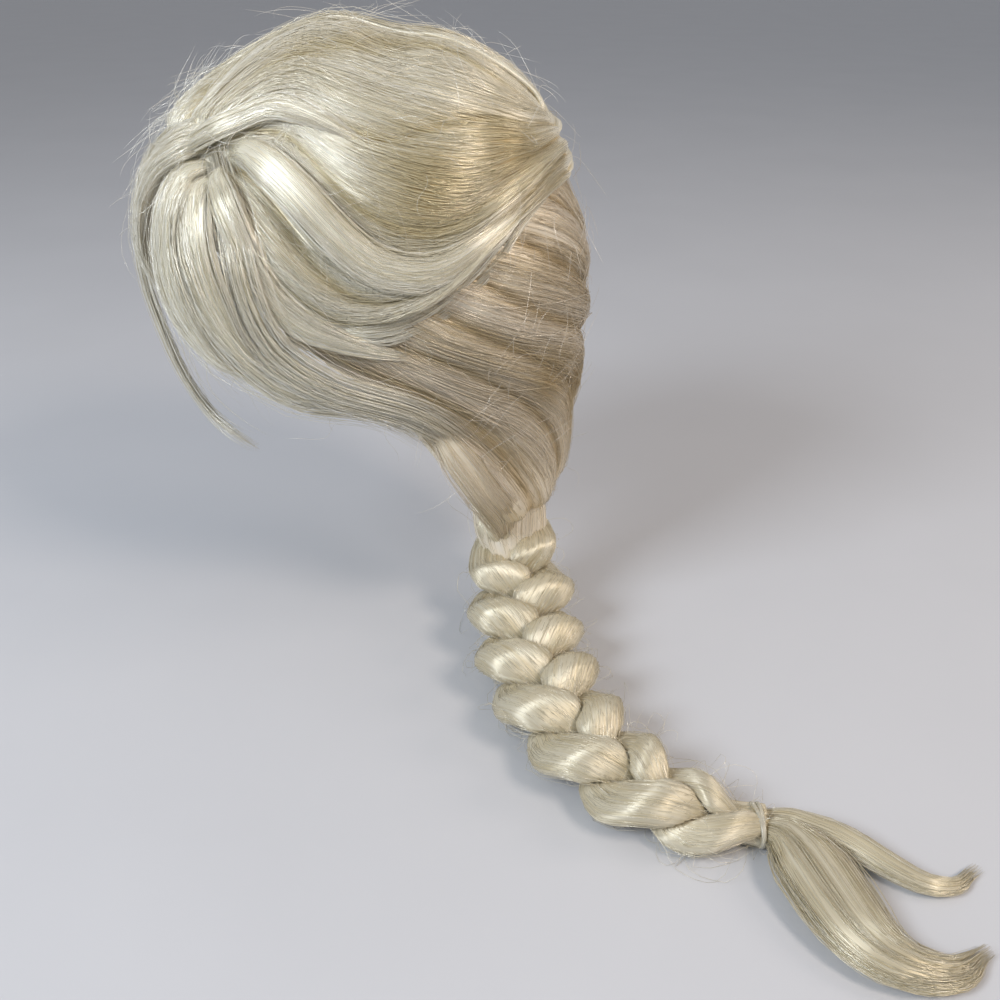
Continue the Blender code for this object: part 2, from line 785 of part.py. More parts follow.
def main():
    for old in list(bpy.data.objects):
        bpy.data.objects.remove(old)
    hair = material("pale_synthetic_hair", HAIR_COLOUR, 0.35)
    shaded = material("shaded_synthetic_hair", SHADED_HAIR_COLOUR, 0.40)
    net = material("stretch_net_cap", CAP_COLOUR, 0.80)
    elastic = material("clear_elastic", BAND_COLOUR, 0.30)
    build_cap(net)
    swept = build_sweep(hair)
    build_fall(hair)
    build_gather(shaded)
    build_plait(hair)
    build_band(elastic)
    build_tail("plait_tail_main", MAIN_TAIL, TAIL_HALF_WIDTH, TAIL_HALF_THICKNESS, hair)
    build_tail(
        "plait_tail_side", SIDE_TAIL, SIDE_TAIL_HALF_WIDTH, SIDE_TAIL_HALF_THICKNESS, hair
    )
    for side, word in ((1, "left"), (-1, "right")):
        build_lock(f"cowlick_lock_{word}", COWLICK_LOCK, side, swept, hair)
        build_lock(f"fringe_lock_{word}", FRINGE_LOCK, side, swept, hair)
        build_lock(f"front_wisp_{word}", FRONT_WISP, side, swept, hair)


main()
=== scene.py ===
# %% [markdown]
# # A long pale wig with one thick plait
# The wig is a stretch net cap with long synthetic hair sewn on in rows. The hair is combed back
# from the face over the crown, drawn together at the nape, plaited, and tied off with a small
# elastic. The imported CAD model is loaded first. It gives the place and size of every piece, and the
# hair is then dressed over it: a smooth bed under each section, and real fibres on top.

import math

import bpy
import numpy as np
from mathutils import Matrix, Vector
from mathutils.bvhtree import BVHTree


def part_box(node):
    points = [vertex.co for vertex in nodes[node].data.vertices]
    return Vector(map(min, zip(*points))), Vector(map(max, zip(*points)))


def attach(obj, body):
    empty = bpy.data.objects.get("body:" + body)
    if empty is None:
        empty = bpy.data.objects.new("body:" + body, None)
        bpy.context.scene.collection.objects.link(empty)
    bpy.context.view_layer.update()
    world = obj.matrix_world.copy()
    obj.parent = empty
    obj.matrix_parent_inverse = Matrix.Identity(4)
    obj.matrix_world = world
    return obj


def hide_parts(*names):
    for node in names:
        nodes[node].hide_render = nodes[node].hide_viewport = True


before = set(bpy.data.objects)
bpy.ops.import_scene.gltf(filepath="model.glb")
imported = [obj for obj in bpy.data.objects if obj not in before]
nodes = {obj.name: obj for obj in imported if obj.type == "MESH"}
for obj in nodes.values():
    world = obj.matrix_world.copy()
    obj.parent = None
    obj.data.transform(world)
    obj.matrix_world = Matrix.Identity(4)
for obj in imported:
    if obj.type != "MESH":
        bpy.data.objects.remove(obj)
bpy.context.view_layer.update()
bpy.ops.object.select_all(action="DESELECT")
print("nodes:", sorted(nodes))

# %% [markdown]
# ## Camera
# The photograph looks at the wearer's left side, from a little over half a metre away and above,
# so the camera has a real place in metres and a lens as wide as its sensor. Everything else
# follows from the shape.

# %% Camera
camera_data = bpy.data.cameras.new("photo_camera")
camera_data.lens = 36.0
camera_data.sensor_width = 36.0
camera_data.clip_start = 0.02
camera = bpy.data.objects.new("photo_camera", camera_data)
camera.location = (0.5803, 0.0753, 0.0814)
camera.rotation_euler = (math.radians(90.0 - 29.5), 0.0, math.radians(90.0))
bpy.context.scene.collection.objects.link(camera)
bpy.context.scene.camera = camera

# %% [markdown]
# ## Floor, light and colour
# The table is a plain pale laminate with a faint mottle, and its height is that of the lowest point
# of the plait. Hair shows its shine only under light of some size, so two soft boxes stand on the
# camera's side, a cool one toward the face and a warm one toward the back. A weak third one stands
# behind the wig, and the pale surroundings fill the rest.

# %% Colour helpers
FLOOR_HEIGHT = -0.3022


def linear(code, alpha=1.0):
    """An sRGB hex colour as the linear values that Blender's sockets take."""
    parts = [int(code[i : i + 2], 16) / 255 for i in (1, 3, 5)]
    return (*[p / 12.92 if p <= 0.04045 else ((p + 0.055) / 1.055) ** 2.4 for p in parts], alpha)


def fill(tree, node, values):
    """Sets properties and inputs by name or number. A socket given as a value is linked."""
    for key, value in values.items():
        if isinstance(key, str) and key not in node.inputs:
            setattr(node, key, value)
        elif isinstance(value, bpy.types.NodeSocket):
            tree.links.new(value, node.inputs[key])
        else:
            node.inputs[key].default_value = value
    return node


def add_node(tree, kind, values=None):
    """Adds a node and fills it."""
    return fill(tree, tree.nodes.new(kind), values or {})


def new_material(name):
    """An empty node material with its Principled shader joined to the output."""
    made = bpy.data.materials.new(name)
    made.use_nodes = True
    made.node_tree.nodes.clear()
    shader = add_node(made.node_tree, "ShaderNodeBsdfPrincipled")
    add_node(made.node_tree, "ShaderNodeOutputMaterial", {"Surface": shader.outputs["BSDF"]})
    return made, made.node_tree, shader


# %% Floor
MOTTLE_SIZE = 1 / 6  # metres

# Pressed laminate, cured against a fine matt sheet: nearly even, with a soft sheen.
laminate, tree, shader = new_material("matt_white_table_laminate")
where = add_node(tree, "ShaderNodeTexCoord")
mottle = add_node(tree, "ShaderNodeTexNoise", {
    "Scale": 1 / MOTTLE_SIZE, "Detail": 3.0, "Vector": where.outputs["Object"],
})
shade = add_node(tree, "ShaderNodeMix", {
    "data_type": "RGBA", "Factor": mottle.outputs["Fac"],
    6: linear("#CBCCCF"), 7: linear("#C4C5C8"),
})
fill(tree, shader, {"Base Color": shade.outputs[2], "Roughness": 0.45})
bpy.ops.mesh.primitive_plane_add(size=60.0, location=(0.0, 0.0, FLOOR_HEIGHT))
floor = bpy.context.object
floor.name = "pale_floor"
floor.data.materials.append(laminate)
bpy.ops.object.select_all(action="DESELECT")


# %% Lights
def soft_box(name, place, aim, size, watts, colour):
    data = bpy.data.lights.new(name, "AREA")
    data.shape = "RECTANGLE"
    data.size, data.size_y = size
    data.energy = watts
    data.color = linear(colour)[:3]
    made = bpy.data.objects.new(name, data)
    made.location = place
    made.rotation_euler = (Vector(aim) - Vector(place)).to_track_quat("-Z", "Y").to_euler()
    bpy.context.scene.collection.objects.link(made)


soft_box("key_box", (0.95, 1.15, 1.15), (0.05, 0.05, -0.15), (0.5, 0.5), 15.0, "#FFF0E2")
soft_box("front_box", (1.00, -1.15, 0.95), (0.0, 0.0, -0.06), (0.7, 0.7), 27.0, "#EDF5FF")
soft_box("back_box", (0.15, 2.00, 0.80), (0.0, 0.05, -0.15), (0.7, 0.7), 8.0, "#FFEEDF")
world = bpy.data.worlds.new("pale_room")
bpy.context.scene.world = world
world.use_nodes = True
world.node_tree.nodes["Background"].inputs["Color"].default_value = linear("#E6E8EE")
world.node_tree.nodes["Background"].inputs["Strength"].default_value = 0.42
bpy.context.scene.view_settings.view_transform = "Standard"

# %% [markdown]
# ## The hair's form
# A place on the wig is given by its azimuth (0 at the face, 90 at the wearer's left, 180 at the
# back) and its elevation, both seen from one centre inside the wig. Rays from that centre find
# the outside of the CAD hair, and a smoothed table of their lengths then lets thousands of fibres
# follow it at once.

# %% Places and grids
CENTRE = np.array((0.0, -0.004, -0.097))


def unit(azimuth, elevation):
    """Unit vectors for arrays of azimuths and elevations in degrees."""
    turn, climb = np.radians(azimuth), np.radians(elevation)
    level = np.cos(climb)
    return np.stack((np.sin(turn) * level, -np.cos(turn) * level, np.sin(climb)), axis=-1)


def normed(vectors):
    return vectors / np.maximum(np.linalg.norm(vectors, axis=-1, keepdims=True), 1e-12)


def read_grid(values, x, y, ring=False):
    """Values between a grid's rows (x) and columns (y). In a ring the last row meets the first."""
    i = np.floor(x).astype(int)
    i = i if ring else np.clip(i, 0, len(values) - 2)
    j = np.clip(np.floor(y).astype(int), 0, values.shape[1] - 2)
    f, g = x - i, y - j
    if values.ndim == 3:
        f, g = f[..., None], g[..., None]
    i, k = i % len(values), (i + 1) % len(values)
    near = values[i, j] * (1 - g) + values[i, j + 1] * g
    far = values[k, j] * (1 - g) + values[k, j + 1] * g
    return near * (1 - f) + far * f


# %% Radius table
TABLE_STEP = 2
SMOOTHING = 1.6
RAY_START = 0.4
azimuths = np.arange(0, 360, TABLE_STEP)
elevations = np.arange(-64, 91, TABLE_STEP)


def outermost(tree, azimuth, elevation):
    """How far out the solid's outer skin is in that direction, or 0 where there is none."""
    way = Vector(unit(azimuth, elevation))
    hit = tree.ray_cast(Vector(CENTRE) + way * RAY_START, -way, RAY_START)
    return RAY_START - hit[3] if hit[0] is not None else 0.0


def radius_table(name):
    """Rows by azimuth, columns by elevation. Gaps take the nearest value below the hair's edge."""
    mesh = nodes[name].data
    corners = [tuple(face.vertices) for face in mesh.polygons]
    tree = BVHTree.FromPolygons([v.co.copy() for v in mesh.vertices], corners)
    table = np.array([[outermost(tree, a, e) for e in elevations] for a in azimuths])
    for row in table:
        known = np.flatnonzero(row > 0)
        row[:] = np.interp(np.arange(len(row)), known, row[known]) if len(known) else 0.0
    full = np.flatnonzero(table[:, 0] > 0)
    half = len(table) // 2
    for i in np.flatnonzero(table[:, 0] == 0):
        table[i] = table[full[np.argmin(np.abs((full - i + half) % (2 * half) - half))]]
    reach = int(3 * SMOOTHING)
    kernel = np.exp(-0.5 * (np.arange(-reach, reach + 1) / SMOOTHING) ** 2)
    kernel /= kernel.sum()
    wrapped = np.pad(table, ((reach, reach), (0, 0)), mode="wrap")
    smooth = sum(k * wrapped[i : i + len(table)] for i, k in enumerate(kernel))
    padded = np.pad(smooth, ((0, 0), (reach, reach)), mode="edge")
    return sum(k * padded[:, i : i + table.shape[1]] for i, k in enumerate(kernel))


def look_up(table, ways):
    """Radius for an array of unit vectors, read between the table's rows and columns."""
    climb = np.degrees(np.arcsin(np.clip(ways[..., 2], -1, 1)))
    turn = np.degrees(np.arctan2(ways[..., 0], -ways[..., 1])) % 360
    y = np.clip((climb - elevations[0]) / TABLE_STEP, 0, len(elevations) - 1.001)
    return read_grid(table, turn / TABLE_STEP, y, ring=True)


top_table = radius_table("swept_top_hair")
fall_table = radius_table("falling_back_hair")
print("radii, mm:", (1000 * top_table.min()).round(), (1000 * top_table.max()).round())

# %% [markdown]
# ## Sections of combed hair
# A combed section is a bundle of lines that run side by side from root to end. A few guide lines
# are given, each a list of places, and the section fills the space between them: u counts
# guides from one edge to the other, and s goes from root to end. The relief in u and s makes the
# locks: rounded backs with narrow hollows between them, at a wide and at a fine spacing. Skin and
# fibres share it, so the fibres lie on the locks and leave no gaps.


# %% Smooth chance
def waves(rng, count, fast_u, fast_s):
    """Random smooth ripples over a section, to read with ripple()."""
    return (
        rng.normal(0, 1, count) / math.sqrt(count / 2),
        rng.uniform(0.3, 1.0, count) * fast_u,
        rng.uniform(0.2, 1.0, count) * fast_s,
        rng.uniform(0, 2 * math.pi, count),
    )


def ripple(mix, u, s):
    total = np.zeros(np.broadcast(u, s).shape)
    for strength, fast_u, fast_s, phase in zip(*mix):
        total += strength * np.sin(fast_u * u + fast_s * s + phase)
    return total


def wander(rng, count, points, turns):
    """Smooth random curves, mostly between -1 and 1, one row each."""
    share = np.linspace(0, 1, points)[None, :]
    total = np.zeros((count, points))
    for bend in range(1, turns + 1):
        phase = rng.uniform(0, 2 * math.pi, (count, 1))
        total += rng.normal(0, 1 / bend, (count, 1)) * np.sin(math.pi * bend * share + phase)
    return total / 1.6


def ease(share):
    share = np.clip(share, 0, 1)
    return share * share * (3 - 2 * share)


# %% Lines through guides
RAIL_POINTS = 121
RAILS_BETWEEN = 12


def cubic(t, here, there, slope_here, slope_there):
    """A smooth way from one point to the next, with its slopes at both."""
    return (
        (1 - 3 * t**2 + 2 * t**3) * here
        + (3 * t**2 - 2 * t**3) * there
        + (t**3 - 2 * t**2 + t) * slope_here
        + (t**3 - t**2) * slope_there
    )


def smooth_line(points, count):
    """count evenly spaced points on a smooth curve through the given ones."""
    points = np.asarray(points, float)
    steps = np.linalg.norm(np.diff(points, axis=0), axis=1)
    knots = np.concatenate(([0], np.cumsum(steps)))
    fine = np.linspace(0, knots[-1], 12 * count)
    slopes = np.gradient(points, knots, axis=0)
    left = np.clip(np.searchsorted(knots, fine) - 1, 0, len(knots) - 2)
    span = (knots[left + 1] - knots[left])[:, None]
    t = (fine - knots[left])[:, None] / span
    curve = cubic(t, points[left], points[left + 1], span * slopes[left], span * slopes[left + 1])
    lengths = np.concatenate(([0], np.cumsum(np.linalg.norm(np.diff(curve, axis=0), axis=1))))
    wanted = np.linspace(0, lengths[-1], count)
    return np.stack([np.interp(wanted, lengths, column) for column in curve.T], axis=1)


def way_line(guide, count):
    """Unit vectors on a smooth curve through a guide's places."""
    return normed(smooth_line(unit(*np.array(guide, float).T), count))


def section(guides, table, seed, wide=1.1, fine=0.34, wide_rise=0.0032, fine_rise=0.0008,
            root_sink=(0.0, 0.08), end_sink=(0.0, 0.08), first_sink=(0.0, 0.4),
            last_sink=(0.0, 0.4)):
    """Everything that place() needs to find a point of a combed section. wide and fine are lock
    widths in guide spacings. A sink is how deep an edge turns in and over what span."""
    rng = np.random.default_rng(seed)
    rails = np.stack([way_line(guide, RAIL_POINTS) for guide in guides])
    spread = len(guides) - 1
    slopes = np.gradient(rails, axis=0)
    u = np.linspace(0, spread, spread * RAILS_BETWEEN + 1)
    left = np.clip(np.floor(u).astype(int), 0, spread - 1)
    t = (u - left)[:, None, None]
    return {
        "rails": normed(cubic(t, rails[left], rails[left + 1], slopes[left], slopes[left + 1])),
        "spread": spread,
        "table": table,
        "wide": (wide, wide_rise, waves(rng, 5, 1.6, 7.0), waves(rng, 6, 2.2, 6.0)),
        "fine": (fine, fine_rise, waves(rng, 8, 5.0, 12.0), waves(rng, 8, 7.0, 9.0)),
        "sinks": (root_sink, end_sink, first_sink, last_sink),
    }


# %% Locks of a section
# Recesses where golden shade is painted into the hair: azimuth, elevation and spread in degrees.
PAINTED_SHADE_PLACES = ((146, 40, 9), (118, 36, 12), (38, 24, 9), (152, -18, 7), (172, -24, 8))


def backs(locks, u, s):
    """1 on the rounded backs of the locks, 0 between two of them."""
    spacing, _, sway, _ = locks
    return np.abs(np.sin(math.pi * (u / spacing + 0.30 * ripple(sway, u, s))))


def relief(part, u, s):
    """Height of the locks' rounded backs over the section's form."""
    total = 0.0
    for locks in (part["wide"], part["fine"]):
        _, rise, _, strength = locks
        swell = np.clip(0.75 + 0.45 * ripple(strength, u, s), 0.15, 1.5)
        total = total + rise * backs(locks, u, s) ** 0.75 * swell
    return total


def painted_hollow_shade(part, u, s, ways):
    """Painted shade: 0 on the backs of the locks to 1 in the recesses between them and at the listed
    places, where the colour turns golden.
    """
    depth = (1 - backs(part["wide"], u, s)) ** 3 * 0.8
    for azimuth, elevation, spread in PAINTED_SHADE_PLACES:
        away = np.degrees(np.arccos(np.clip(ways @ unit(azimuth, elevation), -1, 1)))
        depth = np.maximum(depth, np.exp(-((away / spread) ** 2)) * 0.85)
    return np.clip(depth, 0, 1)


def sunk(sink, away):
    """How far in an edge turns: its depth at the edge itself, 0 once away is past its span."""
    depth, span = sink
    away = np.clip(1 - away / span, 0, 1)
    return depth * (1 - np.sqrt(np.clip(1 - away**2.4, 0, 1)))


def place(part, u, s, lift):
    """Points of a section in metres, for arrays u, s and lift of one shape."""
    rails, spread = part["rails"], part["spread"]
    x = np.clip(u / spread, 0, 1) * (rails.shape[0] - 1)
    y = np.clip(s, 0, 1) * (rails.shape[1] - 1)
    ways = normed(read_grid(rails, x, y))
    root, end, first, last = part["sinks"]
    sink = sunk(root, s) + sunk(end, 1 - s) + sunk(first, u) + sunk(last, spread - u)
    radius = look_up(part["table"], ways) + relief(part, u, s) + lift - sink
    return CENTRE + ways * radius[..., None]


# %% [markdown]
# ## Hair fibre
# The fibre is modacrylic: a clear, slightly yellow plastic, extruded fine and smooth. In a thin
# layer it looks nearly white, and where light passes many fibres it turns cream, so the base colour
# is a pale cream. The yellow of the recesses between locks comes partly from light that bounces
# between fibres and partly from painted shade, which the skins and fibres carry there. It is
# glossier than real hair. Besides the white shine of its surface a fibre sends back light that has
# passed through it and takes its colour. The shader has no such part, so a third of it is set to
# reflect in the base colour, as a metal does. Each fibre carries a tint, which stands for the
# slight difference in colour from lock to lock; on the combed sections it is also lowered in the
# recesses, as painted shade.

# %% Fibre material
FIBRE_GLOSS = {"IOR": 1.53, "Specular IOR Level": 1.0, "Metallic": 0.32}


def hair_material(name, cool, warm, roughness):
    """Smooth extruded fibre, warm to cool by its tint: a random tone from lock to lock, and painted
    shade in the recesses.
    """
    made, tree, shader = new_material(name)
    tint = add_node(tree, "ShaderNodeAttribute", {"attribute_name": "tint"})
    ramp = add_node(tree, "ShaderNodeValToRGB", {"Fac": tint.outputs["Fac"]})
    ramp.color_ramp.elements[0].color = linear(warm)
    ramp.color_ramp.elements[1].color = linear(cool)
    colour = ramp.outputs["Color"]
    fill(tree, shader, {"Base Color": colour, "Roughness": roughness, **FIBRE_GLOSS})
    return made


top_fibre = hair_material("modacrylic_fibre_platinum", "#FAF8EF", "#D8CBA4", 0.26)
# A little warmer and darker than the top's copy.
fall_fibre = hair_material("modacrylic_fibre_warmer_back", "#F6EEE0", "#CDBB94", 0.25)
# Darker than the top's copy: painted shade over the plait and tails.
plait_fibre = hair_material("modacrylic_fibre_painted_shade_plait", "#E7E0CD", "#C8BB96", 0.27)

# %% [markdown]
# ## Combed skin
# Under the loose fibres lies a skin of combed hair. Its pattern follows the hair through two
# attributes, the distance across the section and along it in metres, so that noise stretched along
# one of them draws streaks as fine as the fibres, 0.35 mm wide, and locks some millimetres wide.
# The darker streaks are painted shade between fibres and locks. Thousands of parallel grooves
# spread a highlight into a band across the hair, which is the satin look of a combed wig, so the
# shine is stretched in the direction that a third attribute gives. A fourth paints golden shade
# into the recesses between locks.

# %% Skin material
FIBRE_STREAK = 0.00035
LOCK_STREAK = 0.0045
GROOVE_DEPTH = 0.0004


def skin_material(name, cool, warm, deep, roughness):
    """Hair combed flat, with painted shade: from its lit backs (cool) to the shade between fibres
    (deep), and golden in the recesses between locks.
    """
    made, tree, shader = new_material(name)
    across, length, depth, groove = (
        add_node(tree, "ShaderNodeAttribute", {"attribute_name": key})
        for key in ("across", "along", "painted_hollow_shade", "groove")
    )
    streaks = []
    for width, stretch in ((FIBRE_STREAK, 90.0), (LOCK_STREAK, 14.0)):
        x, y = (
            add_node(tree, "ShaderNodeMath", {"operation": "MULTIPLY", 0: socket, 1: times})
            for socket, times in (
                (across.outputs["Fac"], 1 / width / 2),
                (length.outputs["Fac"], 1 / width / 2 / stretch),
            )
        )
        where = add_node(tree, "ShaderNodeCombineXYZ", {"X": x.outputs[0], "Y": y.outputs[0]})
        noise = {"Scale": 1.0, "Detail": 3.0, "Roughness": 0.6, "Vector": where.outputs["Vector"]}
        streaks.append(add_node(tree, "ShaderNodeTexNoise", noise).outputs["Fac"])
    fibres, locks = streaks
    part = add_node(tree, "ShaderNodeMath", {"operation": "MULTIPLY", 0: locks, 1: 0.45})
    blend = add_node(tree, "ShaderNodeMath", {
        "operation": "MULTIPLY_ADD", 0: fibres, 1: 0.55, 2: part.outputs[0],
    })
    # Painted shade: the streaks run from the shade between fibres (deep) to their lit backs (cool).
    ramp = add_node(tree, "ShaderNodeValToRGB", {"Fac": blend.outputs[0]})
    low, high = ramp.color_ramp.elements
    low.position, low.color = 0.34, linear(deep)
    high.position, high.color = 0.64, linear(cool)
    ramp.color_ramp.elements.new(0.48).color = linear(warm)
    # Painted shade: the colour is multiplied toward gold in the recesses between locks.
    golden = add_node(tree, "ShaderNodeMix", {
        "data_type": "RGBA", "blend_type": "MULTIPLY", "Factor": depth.outputs["Fac"],
        6: ramp.outputs["Color"], 7: linear("#CFB77E"),
    })
    bump = add_node(tree, "ShaderNodeBump", {
        "Strength": 0.8, "Distance": GROOVE_DEPTH, "Height": fibres,
    })
    fill(tree, shader, {
        "Base Color": golden.outputs[2], "Normal": bump.outputs["Normal"],
        "Tangent": groove.outputs["Vector"], "Anisotropic": 1.0, "Roughness": roughness,
        **FIBRE_GLOSS,
    })
    return made


top_skin = skin_material("combed_modacrylic_platinum", "#F6F3E6", "#EFEAD6", "#DACFAC", 0.42)
# A little warmer and darker than the top's copy.
fall_skin = skin_material("combed_modacrylic_warmer_back", "#F2E9D8", "#EADFC8", "#CFBC94", 0.40)
# Darker than the top's copy: painted shade over the plait and tails.
plait_skin = skin_material("combed_modacrylic_painted_shade_plait", "#DED7C2", "#D3C9AE", "#C0B28C", 0.42)


# %% Meshes from arrays
def joined_mesh(name, vertices, quads, triangles, finish, attributes):
    """One smooth object from arrays of points, quads and triangles, riding on the wig's body."""
    mesh = bpy.data.meshes.new(name)
    mesh.vertices.add(len(vertices))
    mesh.vertices.foreach_set("co", np.asarray(vertices, np.float32).ravel())
    loops = np.concatenate((quads.ravel(), triangles.ravel())).astype(np.int32)
    mesh.loops.add(len(loops))
    mesh.loops.foreach_set("vertex_index", loops)
    sizes = np.concatenate((np.full(len(quads), 4), np.full(len(triangles), 3))).astype(np.int32)
    mesh.polygons.add(len(sizes))
    mesh.polygons.foreach_set("loop_start", (np.cumsum(sizes) - sizes).astype(np.int32))
    mesh.polygons.foreach_set("use_smooth", np.ones(len(sizes), bool))
    mesh.update(calc_edges=True)
    add_attributes(mesh, attributes)
    mesh.materials.append(finish)
    made = bpy.data.objects.new(name, mesh)
    bpy.context.scene.collection.objects.link(made)
    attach(made, "root")
    print(f"{name}: {2 * len(quads) + len(triangles)} triangles")
    return made


def add_attributes(mesh, attributes):
    """Numbers or vectors at the points of a mesh, for the materials to read."""
    for key, values in attributes.items():
        vector = np.ndim(values) == 2
        layer = mesh.attributes.new(key, "FLOAT_VECTOR" if vector else "FLOAT", "POINT")
        values = np.asarray(values, np.float32).ravel()
        layer.data.foreach_set("vector" if vector else "value", values)


def shell(name, outer, inner, finish, across, length, depth):
    """A closed skin between two grids of points (columns, rows, xyz)."""
    under = outer.shape[0] * outer.shape[1]
    number = np.arange(under).reshape(outer.shape[:2])
    a, b, c, d = number[:-1, :-1], number[1:, :-1], number[1:, 1:], number[:-1, 1:]
    quads = [np.stack((a, b, c, d), -1).reshape(-1, 4)]
    quads.append((np.stack((a, d, c, b), -1) + under).reshape(-1, 4))
    for edge in (number[0, ::-1], number[:, 0], number[-1, :], number[::-1, -1]):
        quads.append(np.stack((edge[:-1], edge[:-1] + under, edge[1:] + under, edge[1:]), -1))
    quads = np.concatenate(quads)
    normal = np.cross(outer[1, 0] - outer[0, 0], outer[0, 1] - outer[0, 0])
    if np.dot(normal, outer[0, 0] - inner[0, 0]) < 0:
        quads = quads[:, ::-1]
    vertices = np.concatenate((outer.reshape(-1, 3), inner.reshape(-1, 3)))
    groove = normed(np.gradient(outer, axis=0))
    # The painted shade of the recesses rides along as an attribute.
    attributes = {
        "across": np.tile(across.ravel(), 2),
        "along": np.tile(length.ravel(), 2),
        "painted_hollow_shade": np.tile(depth.ravel(), 2),
        "groove": np.tile(groove.reshape(-1, 3), (2, 1)),
    }
    return joined_mesh(name, vertices, quads, np.zeros((0, 3), int), finish, attributes)


SKIN_THICKNESS = 0.0016
SKIN_DEPTH = 0.0004


def section_skin(name, part, finish, columns, rows):
    """The closed skin of a section, a little under its fibres."""
    spread = part["spread"]
    u, s = np.meshgrid(np.linspace(0, spread, columns), np.linspace(0, 1, rows), indexing="ij")
    outer = place(part, u, s, np.full(u.shape, -SKIN_DEPTH))
    inner = place(part, u, s, np.full(u.shape, -SKIN_DEPTH - SKIN_THICKNESS))
    spacing = np.linalg.norm(outer[-1] - outer[0], axis=-1).mean() / spread
    length = np.linalg.norm(np.diff(outer, axis=1), axis=-1).sum(1).mean()
    # Painted shade for the recesses, which the skin's material turns golden.
    depth = painted_hollow_shade(part, u, s, normed(outer - CENTRE))
    return shell(name, outer, inner, finish, u * max(spacing, 0.012), s * length, depth)


# %% [markdown]
# ## Loose fibres
# A wig fibre is a smooth plastic filament, and the fine lines of the hair come from thousands of
# them lying nearly parallel. Each one here is a closed three-sided tube with tapered ends. All
# fibres of a section are built at once as arrays and joined in one mesh, because a loop over single
# vertices would take minutes. They are drawn thicker than the real 0.08 mm, a little under one
# pixel of the render, so that they show without breaking up.


# %% Fibre mesh
def fibre_mesh(name, paths, widths, tints, finish, around=None):
    """Joins closed three-sided tubes along paths (fibres, points, xyz) into one object."""
    count, points, _ = paths.shape
    tangents = normed(np.gradient(paths, axis=1))
    across = normed(np.cross(tangents, paths - CENTRE if around is None else around))
    outwards = np.cross(across, tangents)
    share = np.linspace(0, 1, points)
    taper = np.clip(np.minimum(share / 0.10 + 0.35, (1 - share) / 0.25 + 0.15), 0, 1)
    radius = ((widths[:, None] / 2) * taper[None, :])[..., None]
    rings = []
    for side in range(3):
        turn = math.pi / 2 + side * 2 * math.pi / 3
        rings.append(paths + (across * math.cos(turn) + outwards * math.sin(turn)) * radius)
    vertices = np.stack(rings, axis=2).reshape(-1, 3)
    first = (np.arange(count * points).reshape(count, points) * 3)[:, :-1]
    quads = []
    for side, other in ((0, 1), (1, 2), (2, 0)):
        corners = (first + side, first + 3 + side, first + 3 + other, first + other)
        quads.append(np.stack(corners, -1))
    quads = np.stack(quads, axis=2).reshape(-1, 4)
    starts = np.arange(count) * points * 3
    ends = starts + (points - 1) * 3
    caps = np.concatenate(
        (np.stack((starts, starts + 1, starts + 2), -1), np.stack((ends + 2, ends + 1, ends), -1))
    )
    tints = np.repeat(np.broadcast_to(tints.reshape(count, -1), (count, points)).ravel(), 3)
    return joined_mesh(name, vertices, quads, caps, finish, {"tint": tints})


# %% Fibres of a section
def comb(part, count, seed, stray):
    """Loose fibres that lie along a section, close to its locks, a share of them astray."""
    rng = np.random.default_rng(seed)
    points, spread = 12, part["spread"]
    share = np.linspace(0, 1, points)[None, :]
    u = rng.uniform(0, spread, count)
    run = rng.uniform(0.45, 1.0, count)
    begin = rng.uniform(0, 1, count) * (1 - run)
    begin = np.where(rng.random(count) < 0.35, 0.01, begin)
    s = begin[:, None] + np.minimum(run, 1 - begin)[:, None] * share
    loose = rng.random(count) < stray
    own = wander(rng, count, points, 3) * np.where(loose, 0.42, 0.035)[:, None]
    across = np.clip(u[:, None] + own, 0.01, spread - 0.01)
    height = rng.uniform(0, 1, count) ** 1.5 * 0.0012
    fuzz = np.where(loose, 0.0022, 0.0002)[:, None] * (0.5 + wander(rng, count, points, 3))
    ends = np.clip(np.minimum(share / 0.08, (1 - share) / 0.08), 0, 1)
    lift = 0.0001 + (height[:, None] + np.maximum(fuzz, -0.0002)) * ends - 0.0007 * (1 - ends)
    paths = place(part, across, s, lift)
    lock = ripple(waves(rng, 7, 9.0, 4.0), across, s)
    tints = 0.5 + 0.12 * lock + 0.12 * rng.normal(size=count)[:, None]
    # Painted shade: fibres in the recesses take the warmer, darker end of their tint.
    tints = tints - 0.8 * painted_hollow_shade(part, across, s, normed(paths - CENTRE))
    return paths, np.clip(tints, 0, 1)


def comb_section(kind, side, part, size, count, seed, stray, skin, fibre):
    """The skin of one side of a section, its size in columns and rows, and its loose fibres."""
    section_skin(f"{kind}_skin_{side}", part, skin, *size)
    paths, tints = comb(part, count, seed + 1, stray)
    widths = np.random.default_rng(seed + 2).uniform(0.00020, 0.00040, len(paths))
    fibre_mesh(f"{kind}_fibres_{side}", paths, widths, tints, fibre)


def mirror(places):
    """Places (azimuth first) on the other side of the wig."""
    return [(-azimuth, *rest) for azimuth, *rest in places]


# %% [markdown]
# ## Beds under the hair
# Between and under the fibres the eye sees more hair, not a hole. So each section keeps a smooth
# closed bed in the combed skin's material. It is a copy of the CAD section, whose loose triangles
# are merged and then rounded with one level of subdivision. It stands for the CAD node, which stays
# for collision.

# %% Bed pieces
BED_DEPTH = 0.0012


def mark_growth(mesh):
    """Marks a bed with hair that runs up and down, as it grows out of the cap's rows."""
    points = np.zeros(len(mesh.vertices) * 3)
    mesh.vertices.foreach_get("co", points)
    away = points.reshape(-1, 3) - CENTRE
    turn = np.arctan2(away[:, 0], -away[:, 1])
    climb = np.arcsin(away[:, 2] / np.linalg.norm(away, axis=1))
    level = np.column_stack((np.cos(turn), np.sin(turn), np.zeros(len(turn))))
    add_attributes(mesh, {"across": np.abs(turn) * 0.1, "along": climb * 0.1, "groove": level})


